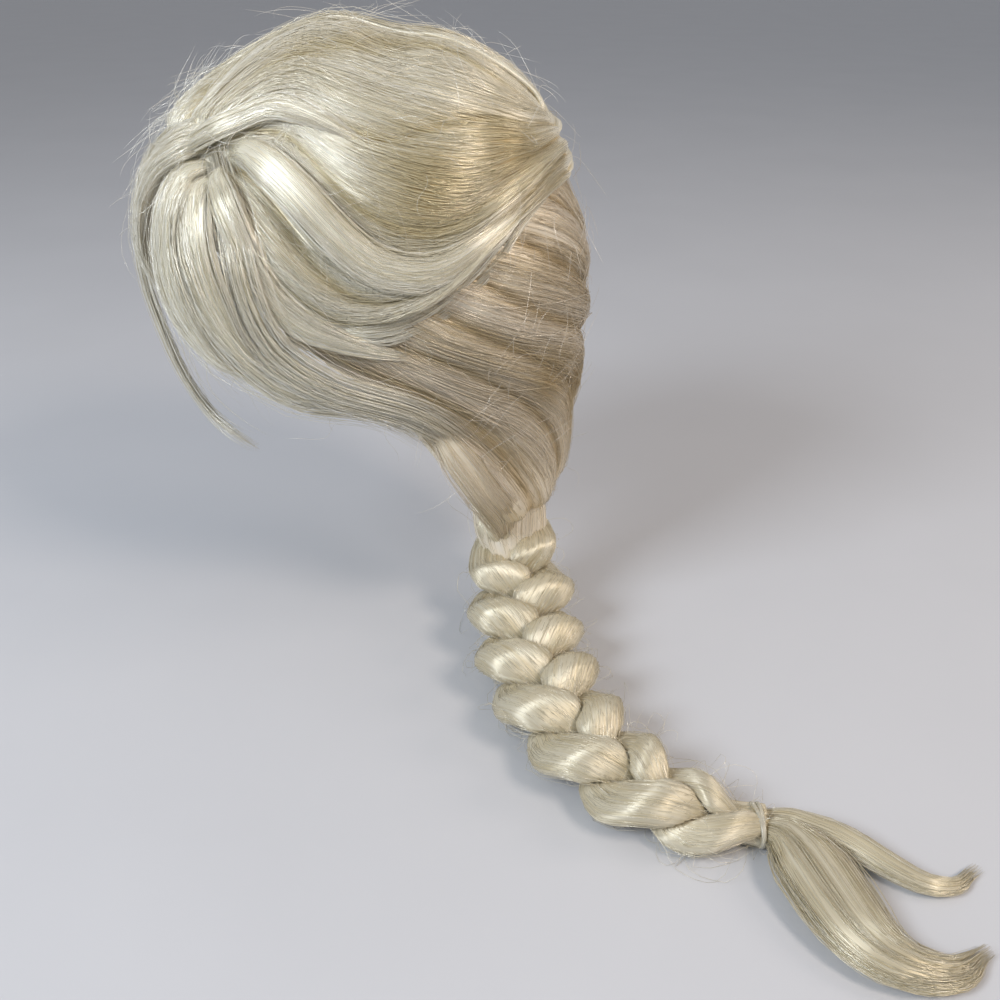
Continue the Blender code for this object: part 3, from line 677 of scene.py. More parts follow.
def bed(name, node_name, finish):
    """A rounded copy of a CAD node, set in a little, that stands for it."""
    mesh = nodes[node_name].data.copy()
    mesh.name = name
    made = bpy.data.objects.new(name, mesh)
    bpy.context.scene.collection.objects.link(made)
    mesh.materials.clear()
    mesh.materials.append(finish)
    bpy.ops.object.select_all(action="DESELECT")
    bpy.context.view_layer.objects.active = made
    made.select_set(True)
    bpy.ops.object.mode_set(mode="EDIT")
    bpy.ops.mesh.select_all(action="SELECT")
    bpy.ops.mesh.remove_doubles(threshold=0.00001)
    bpy.ops.mesh.normals_make_consistent(inside=False)
    bpy.ops.mesh.vertices_smooth(factor=0.5, repeat=3)
    bpy.ops.transform.shrink_fatten(value=-BED_DEPTH)
    bpy.ops.object.mode_set(mode="OBJECT")
    rounding = made.modifiers.new("rounding", "SUBSURF")
    rounding.levels = rounding.render_levels = 1
    bpy.ops.object.modifier_apply(modifier="rounding")
    bpy.ops.object.shade_smooth()
    bpy.ops.object.select_all(action="DESELECT")
    mark_growth(made.data)
    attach(made, "root")
    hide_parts(node_name)
    print(f"{name}: {sum(len(face.vertices) - 2 for face in made.data.polygons)} triangles")


bed("top_hair_bed", "swept_top_hair", top_skin)
bed("fall_hair_bed", "falling_back_hair", fall_skin)

# %% [markdown]
# ## The swept top section
# From the front hairline the hair stands up a little, then lies back over the crown. Toward each
# ear it swings down and round in a swag, and the whole section meets at a pin low on the back of
# the crown. The guides are its combing lines, from the lowest to the middle parting, each a list of
# azimuth and elevation. The wearer's right side is combed as a mirror image with its own random
# seed, so that the two sides aren't copies.

# %% Top section
TOP_GUIDES = (
    ((45, 37), (51, 29), (60, 20), (73, 10), (90, 3), (107, 5), (119, 11), (130, 20), (145, 26),
     (158, 28), (182, 26)),
    ((42, 40), (52, 36), (62, 29), (75, 19), (91, 10), (107, 10), (119, 15), (131, 22), (145, 27),
     (158, 30), (182, 28)),
    ((40, 42), (51, 43), (64, 42), (77, 34), (90, 23), (104, 16), (118, 17), (131, 24), (145, 29),
     (158, 32), (182, 30)),
    ((38, 43), (50, 48), (66, 50), (82, 43), (97, 33), (112, 27), (125, 26), (136, 29), (148, 32),
     (160, 34), (182, 32)),
    ((37, 44), (48, 53), (67, 57), (88, 51), (106, 43), (121, 37), (133, 35), (144, 36), (155, 36),
     (165, 36), (182, 35)),
    ((34, 45), (43, 58), (65, 66), (96, 61), (119, 53), (133, 47), (145, 44), (155, 41), (163, 40),
     (170, 39), (182, 37)),
    ((27, 44), (33, 61), (56, 76), (118, 72), (140, 62), (150, 55), (157, 50), (164, 45), (170, 43),
     (174, 41), (182, 39)),
    ((16, 39), (16, 58), (16, 76), (165, 82), (166, 70), (167, 61), (169, 54), (172, 49), (175, 46),
     (177, 44), (182, 41)),
    ((-1, 34), (-2, 51), (-5, 69), (200, 86), (186, 73), (184, 64), (183, 57), (182, 51), (181, 47),
     (181, 45), (181, 43)),
)
right_top_guides = [mirror(guide) for guide in TOP_GUIDES]
for side, guides, seed, count in (
    ("left", TOP_GUIDES, 11, 1320),
    ("right", right_top_guides, 23, 950),
):
    part = section(guides, top_table, seed, wide=1.25, wide_rise=0.0046, root_sink=(0.020, 0.10),
                   end_sink=(0.006, 0.06), first_sink=(0.006, 0.35))
    comb_section("top", side, part, (96, 64), count, seed, 0.10, top_skin, top_fibre)

# %% [markdown]
# ## The falling back section
# Below the swag the hair of the sides and back is drawn round the wig, nearly level behind, and
# gathered down into a rolled edge over the nape, where the plait starts.

# %% Back section
FALL_GUIDES = (
    ((68, 6), (78, -6), (90, -17), (102, -27), (112, -36), (123, -44), (136, -51), (150, -57)),
    ((76, 5), (88, -6), (102, -16), (116, -25), (130, -34), (142, -42), (153, -50), (162, -57)),
    ((86, 4), (100, -6), (115, -14), (130, -21), (145, -28), (157, -36), (166, -45), (170, -56)),
    ((97, 8), (111, -1), (126, -8), (141, -14), (155, -20), (167, -28), (174, -39), (176, -54)),
    ((109, 13), (123, 5), (138, -2), (152, -7), (166, -13), (177, -21), (182, -34), (182, -52)),
    ((122, 19), (136, 12), (150, 6), (163, 0), (176, -6), (186, -14), (189, -29), (187, -50)),
    ((138, 26), (150, 20), (161, 14), (172, 7), (183, 0), (192, -9), (195, -25), (191, -49)),
    ((155, 31), (164, 27), (173, 20), (182, 12), (191, 4), (198, -6), (200, -23), (195, -48)),
    ((180, 31), (184, 27), (187, 20), (191, 12), (195, 4), (199, -6), (201, -23), (196, -48)),
)
RIGHT_FALL_GUIDES = (
    ((292, 6), (281, -6), (268, -17), (256, -27), (246, -36), (234, -44), (221, -50), (208, -54)),
    ((284, 5), (271, -7), (258, -17), (246, -26), (236, -35), (226, -43), (216, -49), (205, -54)),
    ((274, 4), (260, -7), (246, -17), (234, -26), (225, -34), (217, -42), (209, -48), (202, -53)),
    ((263, 8), (250, -1), (237, -10), (225, -18), (216, -26), (210, -35), (205, -43), (200, -52)),
    ((251, 13), (238, 5), (226, -4), (215, -12), (208, -20), (204, -30), (201, -41), (198, -51)),
    ((237, 19), (226, 11), (216, 3), (208, -5), (204, -14), (201, -26), (199, -38), (196, -50)),
    ((222, 26), (213, 19), (205, 11), (199, 3), (197, -8), (196, -22), (195, -36), (193, -49)),
    ((204, 30), (199, 24), (194, 16), (190, 7), (189, -5), (190, -20), (191, -34), (191, -48)),
    ((181, 31), (182, 25), (183, 17), (184, 8), (186, -5), (188, -20), (190, -34), (190, -48)),
)
for side, guides, seed, count in (
    ("left", FALL_GUIDES, 37, 1150),
    ("right", RIGHT_FALL_GUIDES, 41, 800),
):
    part = section(guides, fall_table, seed, wide=1.1, wide_rise=0.0055, end_sink=(0.022, 0.15),
                   first_sink=(0.010, 0.45), last_sink=(0.005, 0.60))
    comb_section("back", side, part, (88, 60), count, seed, 0.08, fall_skin, fall_fibre)

# %% [markdown]
# ## Bundles
# The plait's strands, the tails and the hair that gathers at the nape are bundles: round in
# section, with the fibres running along them. A bundle is a grid of points, its rings from root to
# end, and one function reads a place on it by its turn round the bundle (0 to 1) and its share of
# the length. The same grid gives the skin and carries the loose fibres.

# %% Bundle grids
TABLE_TOP = -0.302


def frames_along(route):
    """Level vector across and third axis for every point of a route."""
    tangents = normed(np.gradient(route, axis=0))
    across = normed(np.cross((0.0, 0.0, 1.0), tangents))
    return tangents, across, np.cross(tangents, across)


def ring_turns(sides):
    return 2 * math.pi * np.arange(sides) / sides - math.pi / 2


def ovals(route, across, up, half_width, half_thickness, turns):
    """One oval ring at each point of a route."""
    wide = (half_width[:, None] * np.cos(turns))[..., None]
    thick = (half_thickness[:, None] * np.sin(turns))[..., None]
    return route[:, None] + across[:, None] * wide + up[:, None] * thick


def around(grid):
    """Steps from side to side round every ring."""
    return np.roll(grid, -1, axis=1) - np.roll(grid, 1, axis=1)


def outward(grid):
    out = normed(np.cross(around(grid), np.gradient(grid, axis=0)))
    side = np.einsum("rsx,rsx->", out, grid - grid.mean(axis=1, keepdims=True))
    return out if side > 0 else -out


def bundle_of(grid, rng, ridge):
    """Adds ridges along a grid of rings and works out its outward directions and its length."""
    rings, sides, _ = grid.shape
    turn = np.arange(sides)[None, :] / sides
    share = np.linspace(0, 1, rings)[:, None]
    height = np.zeros((rings, sides))
    for _ in range(7):
        count = rng.integers(4, 15)
        drift = rng.uniform(-9, 9)
        wave = np.sin(2 * math.pi * count * turn + drift * share + rng.uniform(0, 6.3))
        height += rng.normal(0, ridge / 2.2) * wave
    grid = grid + outward(grid) * height[..., None]
    steps = np.linalg.norm(np.diff(grid.mean(axis=1), axis=0), axis=1)
    girth = np.linalg.norm(np.diff(grid, axis=1, append=grid[:, :1]), axis=-1).sum(1).mean()
    return {"grid": grid, "out": outward(grid), "length": steps.sum(), "girth": girth}


def on_bundle(bundle, turn, share, lift):
    """Points on a bundle and its outward directions there."""
    rings, sides, _ = bundle["grid"].shape
    x, y = (turn % 1) * sides, np.clip(share, 0, 1) * (rings - 1)
    spot, way = (read_grid(bundle[key].swapaxes(0, 1), x, y, ring=True) for key in ("grid", "out"))
    return spot + way * lift[..., None], way


def bundle_skin(name, bundle, finish):
    """The closed skin of a bundle, its ends drawn to a point in the middle of the end rings."""
    grid = bundle["grid"]
    rings, sides, _ = grid.shape
    number = np.arange(rings * sides).reshape(rings, sides)
    nearby = np.roll(number, -1, axis=1)
    quads = np.stack((number[:-1], nearby[:-1], nearby[1:], number[1:]), -1).reshape(-1, 4)
    first, last = np.full(sides, rings * sides), np.full(sides, rings * sides + 1)
    caps = np.concatenate(
        (np.stack((number[0], first, nearby[0]), -1), np.stack((nearby[-1], last, number[-1]), -1))
    )
    normal = np.cross(grid[0, 1] - grid[0, 0], grid[1, 0] - grid[0, 0])
    if np.dot(normal, grid[0, 0] - grid[0].mean(axis=0)) < 0:
        quads, caps = quads[:, ::-1], caps[:, ::-1]
    vertices = np.concatenate((grid.reshape(-1, 3), grid[:1].mean(1), grid[-1:].mean(1)))
    turn = np.abs((np.arange(sides) / sides + 0.25) % 1 - 0.5) * 2
    across = np.tile(turn * bundle["girth"] / 2, rings)
    length = np.repeat(np.linspace(0, bundle["length"], rings), sides)
    groove = normed(around(grid))
    attributes = {
        "across": np.concatenate((across, (0.0, 0.0))),
        "along": np.concatenate((length, (0.0, bundle["length"]))),
        "groove": np.concatenate((groove.reshape(-1, 3), groove[0, :1], groove[-1, :1])),
    }
    return joined_mesh(name, vertices, quads, caps, finish, attributes)


def bundle_fibres(name, bundle, count, points, seed, finish, run=(0.2, 0.35), depth=0.0008,
                  stray=0.04, frizz=0.004):
    """Loose fibres along a bundle, each over a share of its length, a few of them standing off."""
    rng = np.random.default_rng(seed)
    share = np.linspace(0, 1, points)[None, :]
    length = rng.uniform(*run, count)
    begin = rng.uniform(-0.04, 1.0, count) * (1.03 - length)
    places = np.clip(begin[:, None] + length[:, None] * share, 0, 1)
    loose = rng.random(count) < stray
    sway = wander(rng, count, points, 3) * np.where(loose, 0.05, 0.012)[:, None]
    turn = rng.random((count, 1)) + sway
    fuzz = np.abs(wander(rng, count, points, 2)) * np.where(loose, frizz, 0.0001)[:, None]
    ends = np.clip(np.minimum(share / 0.12, (1 - share) / 0.12), 0, 1)
    ends = np.where(loose[:, None], np.maximum(ends, share), ends)
    lift = 0.0001 + (rng.random((count, 1)) ** 1.5 * depth + fuzz) * ends - 0.0007 * (1 - ends)
    paths, ways = on_bundle(bundle, turn, places, lift)
    paths[..., 2] = np.maximum(paths[..., 2], TABLE_TOP + 0.0003)
    tints = np.clip(0.6 + 0.18 * rng.normal(size=(count, 1)) + 0.08 * sway / 0.012, 0, 1)
    widths = np.where(loose, 0.00017, rng.uniform(0.00020, 0.00036, count))
    fibre_mesh(name, paths, widths, tints, finish, ways)


# %% [markdown]
# ## The plait
# It is an ordinary plait of three strands. Seen across the plait each strand swings from side to
# side, a third of a turn after the last one, and dips under the middle twice in each swing, so its
# place is a sine across and a sine of double speed up and down. A strand is pressed flat where it
# meets the others and stays round outside. That is why a ring is an oval that is cut back, with a
# soft corner, half way to its two neighbours.

# %% Plait route
PLAIT_HALF_WIDTH = 0.034
PLAIT_HALF_THICKNESS = 0.022
LOBE_PITCH = 0.0375
PLAIT_ROOT = ((0.014, 0.0800, 0.082), (0.029, 0.0818, 0.050))
PLAIT_ROUTE = (
    (0.045, 0.0836, 0.028), (0.056, 0.0861, 0.016), (0.074, 0.0881, 0.007), (0.098, 0.0906, 0.002),
    (0.130, 0.0956, 0.0), (0.163, 0.1056, 0.0), (0.192, 0.1206, 0.0), (0.216, 0.1406, 0.0),
    (0.231, 0.1626, 0.0), (0.236, 0.1836, 0.0), (0.236, 0.2036, 0.0),
)
PLAIT_TAPER = np.array((
    (0, 0.80), (0.12, 0.98), (0.40, 0.96), (0.60, 0.84), (0.78, 0.74), (0.90, 0.58), (0.97, 0.36),
    (1, 0.33),
))


def plait_middle(spacing):
    """Points of the plait's middle line, which lies on the table where the nape doesn't hold it
    up, and their shares of the plait's length, below 0 for the root inside the nape's roll."""
    flat = np.array(PLAIT_ROUTE)
    steps = np.linalg.norm(np.diff(flat[:, :2], axis=0), axis=1)
    share = np.concatenate(([0], np.cumsum(steps))) / steps.sum()
    lying = PLAIT_HALF_THICKNESS * np.interp(share, *PLAIT_TAPER.T) + TABLE_TOP
    points = np.column_stack((flat[:, :2], lying + flat[:, 2]))
    root = np.array(PLAIT_ROOT) + (0, 0, lying[0])
    length = np.linalg.norm(np.diff(smooth_line(points, 100), axis=0), axis=1).sum()
    extra = np.linalg.norm(np.diff(np.vstack((root, points[:1])), axis=0), axis=1).sum()
    count = round((length + extra) / spacing)
    line = smooth_line(np.vstack((root, points)), count)
    return line, np.linspace(-extra / length, 1, count), length


STRAND_SIDES = 26
STRAND_GAP = 0.0004
STRAND_OVAL = (0.5775, 0.651)  # a strand's half width and thickness, as shares of the plait's
SWING, DIP = 0.45, 0.38  # how far it goes across and up and down, in the same shares
CORNER = 7.0  # the larger, the sharper the corner where two strands meet


def strand_grid(middle, share, length, strand):
    """Rings of one strand in the planes across the plait's middle line."""
    _, across, up = frames_along(middle)
    size = np.interp(share, *PLAIT_TAPER.T) * (1 - 0.35 * ease(-share / 0.16))
    half_width, half_thickness = PLAIT_HALF_WIDTH * size, PLAIT_HALF_THICKNESS * size
    phase = 2 * math.pi * share * length / (3 * LOBE_PITCH)
    places = []
    for other in range(3):
        turn = phase + 2 * math.pi * other / 3
        sideways = half_width * SWING * np.sin(turn)
        places.append(np.stack((sideways, -half_thickness * DIP * np.sin(2 * turn)), -1))
    turns = ring_turns(STRAND_SIDES)
    ways = np.stack((np.cos(turns), np.sin(turns)), -1)[None]
    wide, thick = (half_width * STRAND_OVAL[0])[:, None], (half_thickness * STRAND_OVAL[1])[:, None]
    pressed = (1 / np.hypot(ways[..., 0] / wide, ways[..., 1] / thick)) ** -CORNER
    for other in range(3):
        if other != strand:
            apart = places[other] - places[strand]
            distance = np.linalg.norm(apart, axis=1)[:, None]
            towards = np.maximum((ways * apart[:, None]).sum(-1) / distance, 1e-3)
            pressed = pressed + (towards / ((distance - STRAND_GAP) / 2)) ** CORNER
    flat = places[strand][:, None] + ways * (pressed ** (-1 / CORNER))[..., None]
    return middle[:, None] + across[:, None] * flat[..., :1] + up[:, None] * flat[..., 1:]


# %% Plait strands
middle, plait_share, plait_length = plait_middle(0.0014)
for strand in range(3):
    name = f"plait_strand_{strand + 1}"
    grid = strand_grid(middle, plait_share, plait_length, strand)
    bundle = bundle_of(grid, np.random.default_rng(60 + strand), 0.00022)
    skin = bundle_skin(f"{name}_skin", bundle, plait_skin)
    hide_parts(name)
    bundle_fibres(f"{name}_fibres", bundle, 470, 12, 70 + strand, plait_fibre, depth=0.0006,
                  stray=0.16, frizz=0.005)
    bundle_fibres(f"{name}_frizz", bundle, 110, 11, 75 + strand, plait_fibre, run=(0.03, 0.09),
                  stray=1.0, frizz=0.013)
    print("strand length, mm:", round(1000 * bundle["length"]))

# %% [markdown]
# ## The nape
# Under the rolled edge the hair runs down into the plait. A bundle as wide as the plait fills the
# inside of the roll. It starts as a flat sheet between the cap's lower edge and the hair behind it,
# and its far end closes among the three strands.

# %% Nape bundle
NAPE_RINGS = (  # x, y, z, half size from front to back, half size from side to side
    (0.002, 0.0855, -0.158, 0.002, 0.038),
    (0.006, 0.0850, -0.170, 0.004, 0.036),
    (0.011, 0.0838, -0.184, 0.008, 0.031),
    (0.018, 0.0820, -0.203, 0.014, 0.026),
    (0.028, 0.0805, -0.226, 0.021, 0.020),
    (0.040, 0.0830, -0.247, 0.022, 0.014),
    (0.052, 0.0850, -0.262, 0.015, 0.010),
)
line = smooth_line(NAPE_RINGS, 50)
_, across, up = frames_along(line[:, :3])
grid = ovals(line[:, :3], across, up, line[:, 3], line[:, 4], ring_turns(40))
nape = bundle_of(grid, np.random.default_rng(55), 0.0007)
nape_skin = bundle_skin("nape_gather_skin", nape, fall_skin)
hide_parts("nape_gather")
bundle_fibres("nape_gather_fibres", nape, 180, 13, 56, fall_fibre, run=(0.5, 0.9))

# %% [markdown]
# ## The tails
# Past the elastic the three strands fall open into one broad, flat tail and a thin one beside it.
# They lie on the table, widen, then thin out to wispy points that curl up at the tips. The skin
# ends before the tips do, and the last centimetres are fibres alone.

# %% Tails
MAIN_TAIL = (  # x, y, share of the half width, share of the half thickness
    (0.2390, 0.2036, 0.34, 0.70), (0.2425, 0.2085, 0.50, 0.85), (0.2520, 0.2150, 0.80, 1.00),
    (0.2660, 0.2205, 1.00, 1.00), (0.2830, 0.2260, 0.97, 0.90), (0.3000, 0.2340, 0.85, 0.75),
    (0.3110, 0.2480, 0.66, 0.60), (0.3130, 0.2650, 0.45, 0.45), (0.3030, 0.2820, 0.14, 0.25),
)
SIDE_TAIL = (
    (0.2285, 0.2036, 0.40, 0.90), (0.2290, 0.2120, 0.50, 0.95), (0.2335, 0.2250, 0.80, 1.00),
    (0.2430, 0.2410, 1.00, 1.00), (0.2550, 0.2540, 0.95, 0.85), (0.2660, 0.2680, 0.80, 0.70),
    (0.2680, 0.2820, 0.60, 0.50), (0.2590, 0.2960, 0.20, 0.30),
)
TAIL_RINGS = 70


def read_line(values, y):
    """Values between the rows of a list of numbers or points."""
    low = np.clip(np.floor(y).astype(int), 0, len(values) - 2)
    part = (y - low)[..., None] if values.ndim == 2 else y - low
    return values[low] * (1 - part) + values[low + 1] * part


def tail(name, node_name, table, half_width, half_thickness, count, seed):
    """A flat bundle on the table, its skin and its fibres, which gather in clumps at the end."""
    rng = np.random.default_rng(seed)
    x, y, wide, thick = np.array(table).T
    lying = TABLE_TOP + half_thickness * thick
    line = smooth_line(np.column_stack((x, y, lying, wide, thick)), TAIL_RINGS)
    route, wide, thick = line[:, :3], half_width * line[:, 3], half_thickness * line[:, 4]
    tangents, across, up = frames_along(route)
    kept = 0.92 * np.clip((1 - np.linspace(0, 1, TAIL_RINGS)) / 0.35, 0.1, 1) ** 0.6
    grid = ovals(route, across, up, wide * kept, thick * kept, ring_turns(26))
    skin = bundle_skin(f"{name}_skin", bundle_of(grid, rng, 0.0005), plait_skin)
    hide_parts(node_name)
    points = 13
    share = np.linspace(0, 1, points)[None, :]
    begin = np.where(rng.random(count) < 0.5, 0.0, rng.uniform(0, 0.5, count))
    finish_at = np.clip(rng.normal(0.91, 0.11, count), 0.55, 1.06)
    places = begin[:, None] + (finish_at - begin)[:, None] * share
    edge = rng.uniform(-1, 1, count)
    clumps = np.sort(rng.uniform(-1.0, 1.0, 9))
    nearest = clumps[np.argmin(np.abs(edge[:, None] - clumps), axis=1)]
    gathering = ease((places - 0.62) / 0.42) * 0.35
    edge = edge[:, None] * (1 - gathering) + nearest[:, None] * gathering
    edge = edge + wander(rng, count, points, 3) * 0.14
    rise = rng.uniform(-0.3, 1.0, count)[:, None] * np.sqrt(np.clip(1 - edge**2, 0.05, 1)) * 1.05
    spread = 1 + 0.2 * ease((places - 0.75) / 0.3)
    y = np.clip(places, 0, 1) * (TAIL_RINGS - 1)
    over = (places - np.clip(places, 0, 1))[..., None] * 0.09
    sideways = edge * spread * read_line(np.maximum(wide, 0.0026), y)
    upward = rise * read_line(np.maximum(thick, 0.002), y)
    on_route = read_line(route, y)
    paths = (
        on_route
        + read_line(tangents, y) * over
        + read_line(across, y) * sideways[..., None]
        + read_line(up, y) * upward[..., None]
    )
    paths[..., 2] = np.maximum(paths[..., 2], TABLE_TOP + 0.0006)
    tints = np.clip(0.5 + 0.25 * rng.normal(size=(count, 1)), 0, 1)
    ways = paths - on_route
    ways[..., 2] += 0.004
    widths = rng.uniform(0.00024, 0.00042, count)
    fibre_mesh(f"{name}_fibres", paths, widths, tints, plait_fibre, ways)


tail("main_tail", "plait_tail_main", MAIN_TAIL, 0.019, 0.009, 620, 81)
tail("side_tail", "plait_tail_side", SIDE_TAIL, 0.008, 0.0055, 260, 83)

# %% [markdown]
# ## Locks at the face
# Thinner locks come loose from the front hairline and hang in long curves in front of the ears.
# There are three at each side, and single hairs fill the air between them. A lock is a ribbon of
# fibres with nothing under it, so it is see-through at its edges.

# %% Lines of the loose locks
LOCK_GUIDES = {
    "front_wisp": ((8, 36), (11, 22), (14, 6), (16, -10), (18, -24), (24, -37), (38, -46)),
    "fringe_lock": ((28, 38), (40, 26), (49, 10), (56, -5), (66, -16), (79, -23), (92, -27)),
    "cowlick_lock": ((42, 44), (52, 36), (60, 24), (65, 10), (72, -6), (85, -15), (100, -20)),
}
LOCK_ENDS = {"fringe_lock": ((106, -29), (118, -34)), "cowlick_lock": ((114, -27), (126, -33))}
LOCK_POINTS = 60


def lock_line(node_name, guide, ends):
    """The middle line of a loose lock: the guide's directions at the CAD lock's distance, and its
    end laid on the hair of the back."""
    mesh = nodes[node_name].data
    points = np.zeros(len(mesh.vertices) * 3)
    mesh.vertices.foreach_get("co", points)
    points = points.reshape(-1, 3) - CENTRE
    distance = np.linalg.norm(points, axis=1)
    ways = way_line(guide, LOCK_POINTS)
    closeness = ways @ (points / distance[:, None]).T
    weights = np.exp((closeness - 1) / 0.0025)
    line = CENTRE + ways * ((weights * distance).sum(1) / weights.sum(1))[:, None]
    if ends:
        ways = unit(*np.array(ends, float).T)
        on_back = CENTRE + ways * (look_up(fall_table, ways) + 0.004)[:, None]
        line = smooth_line(np.vstack((line[:-6:9], on_back)), LOCK_POINTS)
    return line


def line_frame(line):
    """Directions along a line over the hair, away from the wig's centre, and across both."""
    tangents, outwards = normed(np.gradient(line, axis=0)), normed(line - CENTRE)
    return tangents, outwards, np.cross(tangents, outwards)


# %% Fibres of the loose locks
def lock_fibres(name, line, count, seed, half_width, half_depth, spread_end):
    rng = np.random.default_rng(seed)
    points = 13
    share = np.linspace(0, 1, points)[None, :]
    _, outwards, across = line_frame(line)
    begin = np.where(rng.random(count) < 0.7, 0.0, rng.uniform(0, 0.3, count))
    finish_at = np.clip(rng.normal(0.97, 0.06, count), 0.6, 1.0)
    s = begin[:, None] + (finish_at - begin)[:, None] * share
    edge = np.clip(rng.normal(0, 0.5, count), -1.4, 1.4)[:, None]
    edge = edge + wander(rng, count, points, 2) * 0.18
    shape = 0.35 + 0.65 * np.sin(math.pi * np.clip(s * 0.9 + 0.08, 0, 1)) ** 0.7
    shape = shape + spread_end * ease((s - 0.7) / 0.3)
    deep = rng.normal(0, 0.5, count)[:, None] + wander(rng, count, points, 2) * 0.2
    y = s * (len(line) - 1)
    paths = read_line(line, y) + read_line(across, y) * (edge * shape * half_width)[..., None]
    paths = paths + read_line(outwards, y) * (deep * shape * half_depth + 0.0005)[..., None]
    tints = np.clip(0.6 + 0.2 * rng.normal(size=(count, 1)), 0, 1)
    widths = rng.uniform(0.00022, 0.00038, count)
    made = fibre_mesh(f"{name}_fibres", paths, widths, tints, top_fibre)
    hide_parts(name)


def temple_hairs(side, lines, count, seed):
    """Single hairs in the air between three lines, a little off them."""
    rng = np.random.default_rng(seed)
    points = 13
    s = rng.uniform(0, 0.25, (count, 1))
    s = s + rng.uniform(0.4, 0.75, (count, 1)) * np.linspace(0, 1, points)
    u = rng.uniform(0, 2, (count, 1)) + 0.22 * wander(rng, count, points, 3)
    x = np.clip(u, 0, 2)
    whole = np.clip(np.floor(x), 0, 1)
    y = np.clip(s, 0, 1) * (LOCK_POINTS - 1)
    paths = read_grid(lines, whole + ease(x - whole), y)
    paths = paths + normed(paths - CENTRE) * (0.003 * wander(rng, count, points, 3))[..., None]
    tints = np.clip(0.6 + 0.2 * rng.normal(size=(count, 1)), 0, 1)
    fibre_mesh(f"temple_hairs_{side}", paths, rng.uniform(0.0002, 0.0003, count), tints, top_fibre)


LOCKS = (  # fibres on the left and right, half width, half depth, how far the end opens
    ("cowlick_lock", (330, 198), 0.0115, 0.0035, 0.5),
    ("fringe_lock", (260, 156), 0.0105, 0.0032, 0.7),
    ("front_wisp", (130, 78), 0.0060, 0.0028, 0.9),
)
for number, (side, seed, count) in enumerate((("left", 91, 150), ("right", 97, 90))):
    turn = mirror if number else tuple
    lines = []
    for step, (kind, counts, *shape) in enumerate(LOCKS):
        name = f"{kind}_{side}"
        lines.append(lock_line(name, turn(LOCK_GUIDES[kind]), turn(LOCK_ENDS.get(kind, ()))))
        lock_fibres(name, lines[-1], counts[number], seed + step, *shape)
    temple_hairs(side, np.array(lines), count, seed + len(LOCKS))

# %% [markdown]
# ## Raised locks at the front
# Some locks lie on top of the combed section and give it its relief. From the parting above the
# temple one broad lock swings back along the swag and catches the light, and short tufts fall
# forward over the hairline, where the loose locks hang from them. Each is a flat bundle that
# follows its own line of places, given as azimuth, elevation and millimetres from the centre, where
# 0 means laid on the hair. After them come its half width and half depth in metres, the share of
# its width that the skin fills, and the number of fibres.

# %% Raised locks
RAISED_LOCKS = {
    "swag_lock": (
        ((37, 45, 110), (43, 46, 118), (54, 47, 119), (66, 44, 116), (78, 38, 112), (89, 29, 109),
         (101, 20, 107), (116, 17, 111), (130, 22, 119), (144, 27, 127), (158, 30, 133)),
        0.0100, 0.0045, 0.86, 200,
    ),
    "temple_lock": (
        ((38, 43, 111), (46, 40, 120), (55, 34, 119), (62, 25, 113), (68, 15, 107), (78, 5, 103),
         (91, -1, 101), (103, -5, 0), (117, -9, 0)),
        0.0085, 0.0038, 0.78, 170,
    ),
    "parting_lock": (
        ((22, 37, 119), (29, 43, 124), (37, 48, 124), (46, 54, 122), (60, 59, 0), (78, 58, 0),
         (93, 54, 0), (106, 49, 0)),
        0.0090, 0.0032, 0.70, 150,
    ),
    "hem_lock": (
        ((80, 7, 100), (92, 3, 101), (105, 3, 101), (117, 8, 105), (128, 16, 114), (139, 24, 123),
         (150, 28, 129), (162, 29, 134)),
        0.0080, 0.0030, 0.50, 130,
    ),
    "front_tuft": (
        ((38, 50, 112), (32, 49, 120), (25, 44, 125), (18, 36, 129), (14, 26, 129), (15, 13, 126),
         (20, 1, 121)),
        0.0175, 0.0042, 0.68, 260,
    ),
    "brow_tuft": (
        ((25, 55, 116), (16, 52, 123), (8, 44, 128), (2, 34, 131), (0, 22, 130), (3, 10, 127),
         (9, -3, 122)),
        0.0150, 0.0040, 0.62, 190,
    ),
    "hairline_tuft": (
        ((39, 46, 112), (36, 40, 121), (34, 30, 123), (35, 18, 120), (40, 5, 116), (48, -8, 111),
         (59, -20, 106)),
        0.0180, 0.0036, 0.70, 200,
    ),
    "ear_tuft": (
        ((40, 43, 112), (42, 36, 120), (45, 26, 119), (49, 16, 116), (55, 4, 112), (62, -7, 108),
         (72, -16, 104)),
        0.0160, 0.0036, 0.76, 165,
    ),
}
NAPE_LOCK = (
    ((116, -29, 0), (123, -36, 0), (132, -44, 0), (142, -51, 160), (148, -56, 173),
     (152, -60, 186), (154, -63, 196)),
    0.0120, 0.0040, 0.80, 140,
)
RAISED_RINGS = 44
FRAYED = 0.7  # a lock whose skin fills less than this is frayed at its end
ROOT_SINK, END_SINK = 0.009, 0.006
LAID_OVER = 0.005
TOP_EDGE = 12  # elevation where the top section ends and the fall begins, degrees


def hair_radius(ways, elevation):
    """Radius of the hair in these directions, on the top section or on the fall below it."""
    return np.where(elevation > TOP_EDGE, look_up(top_table, ways), look_up(fall_table, ways))


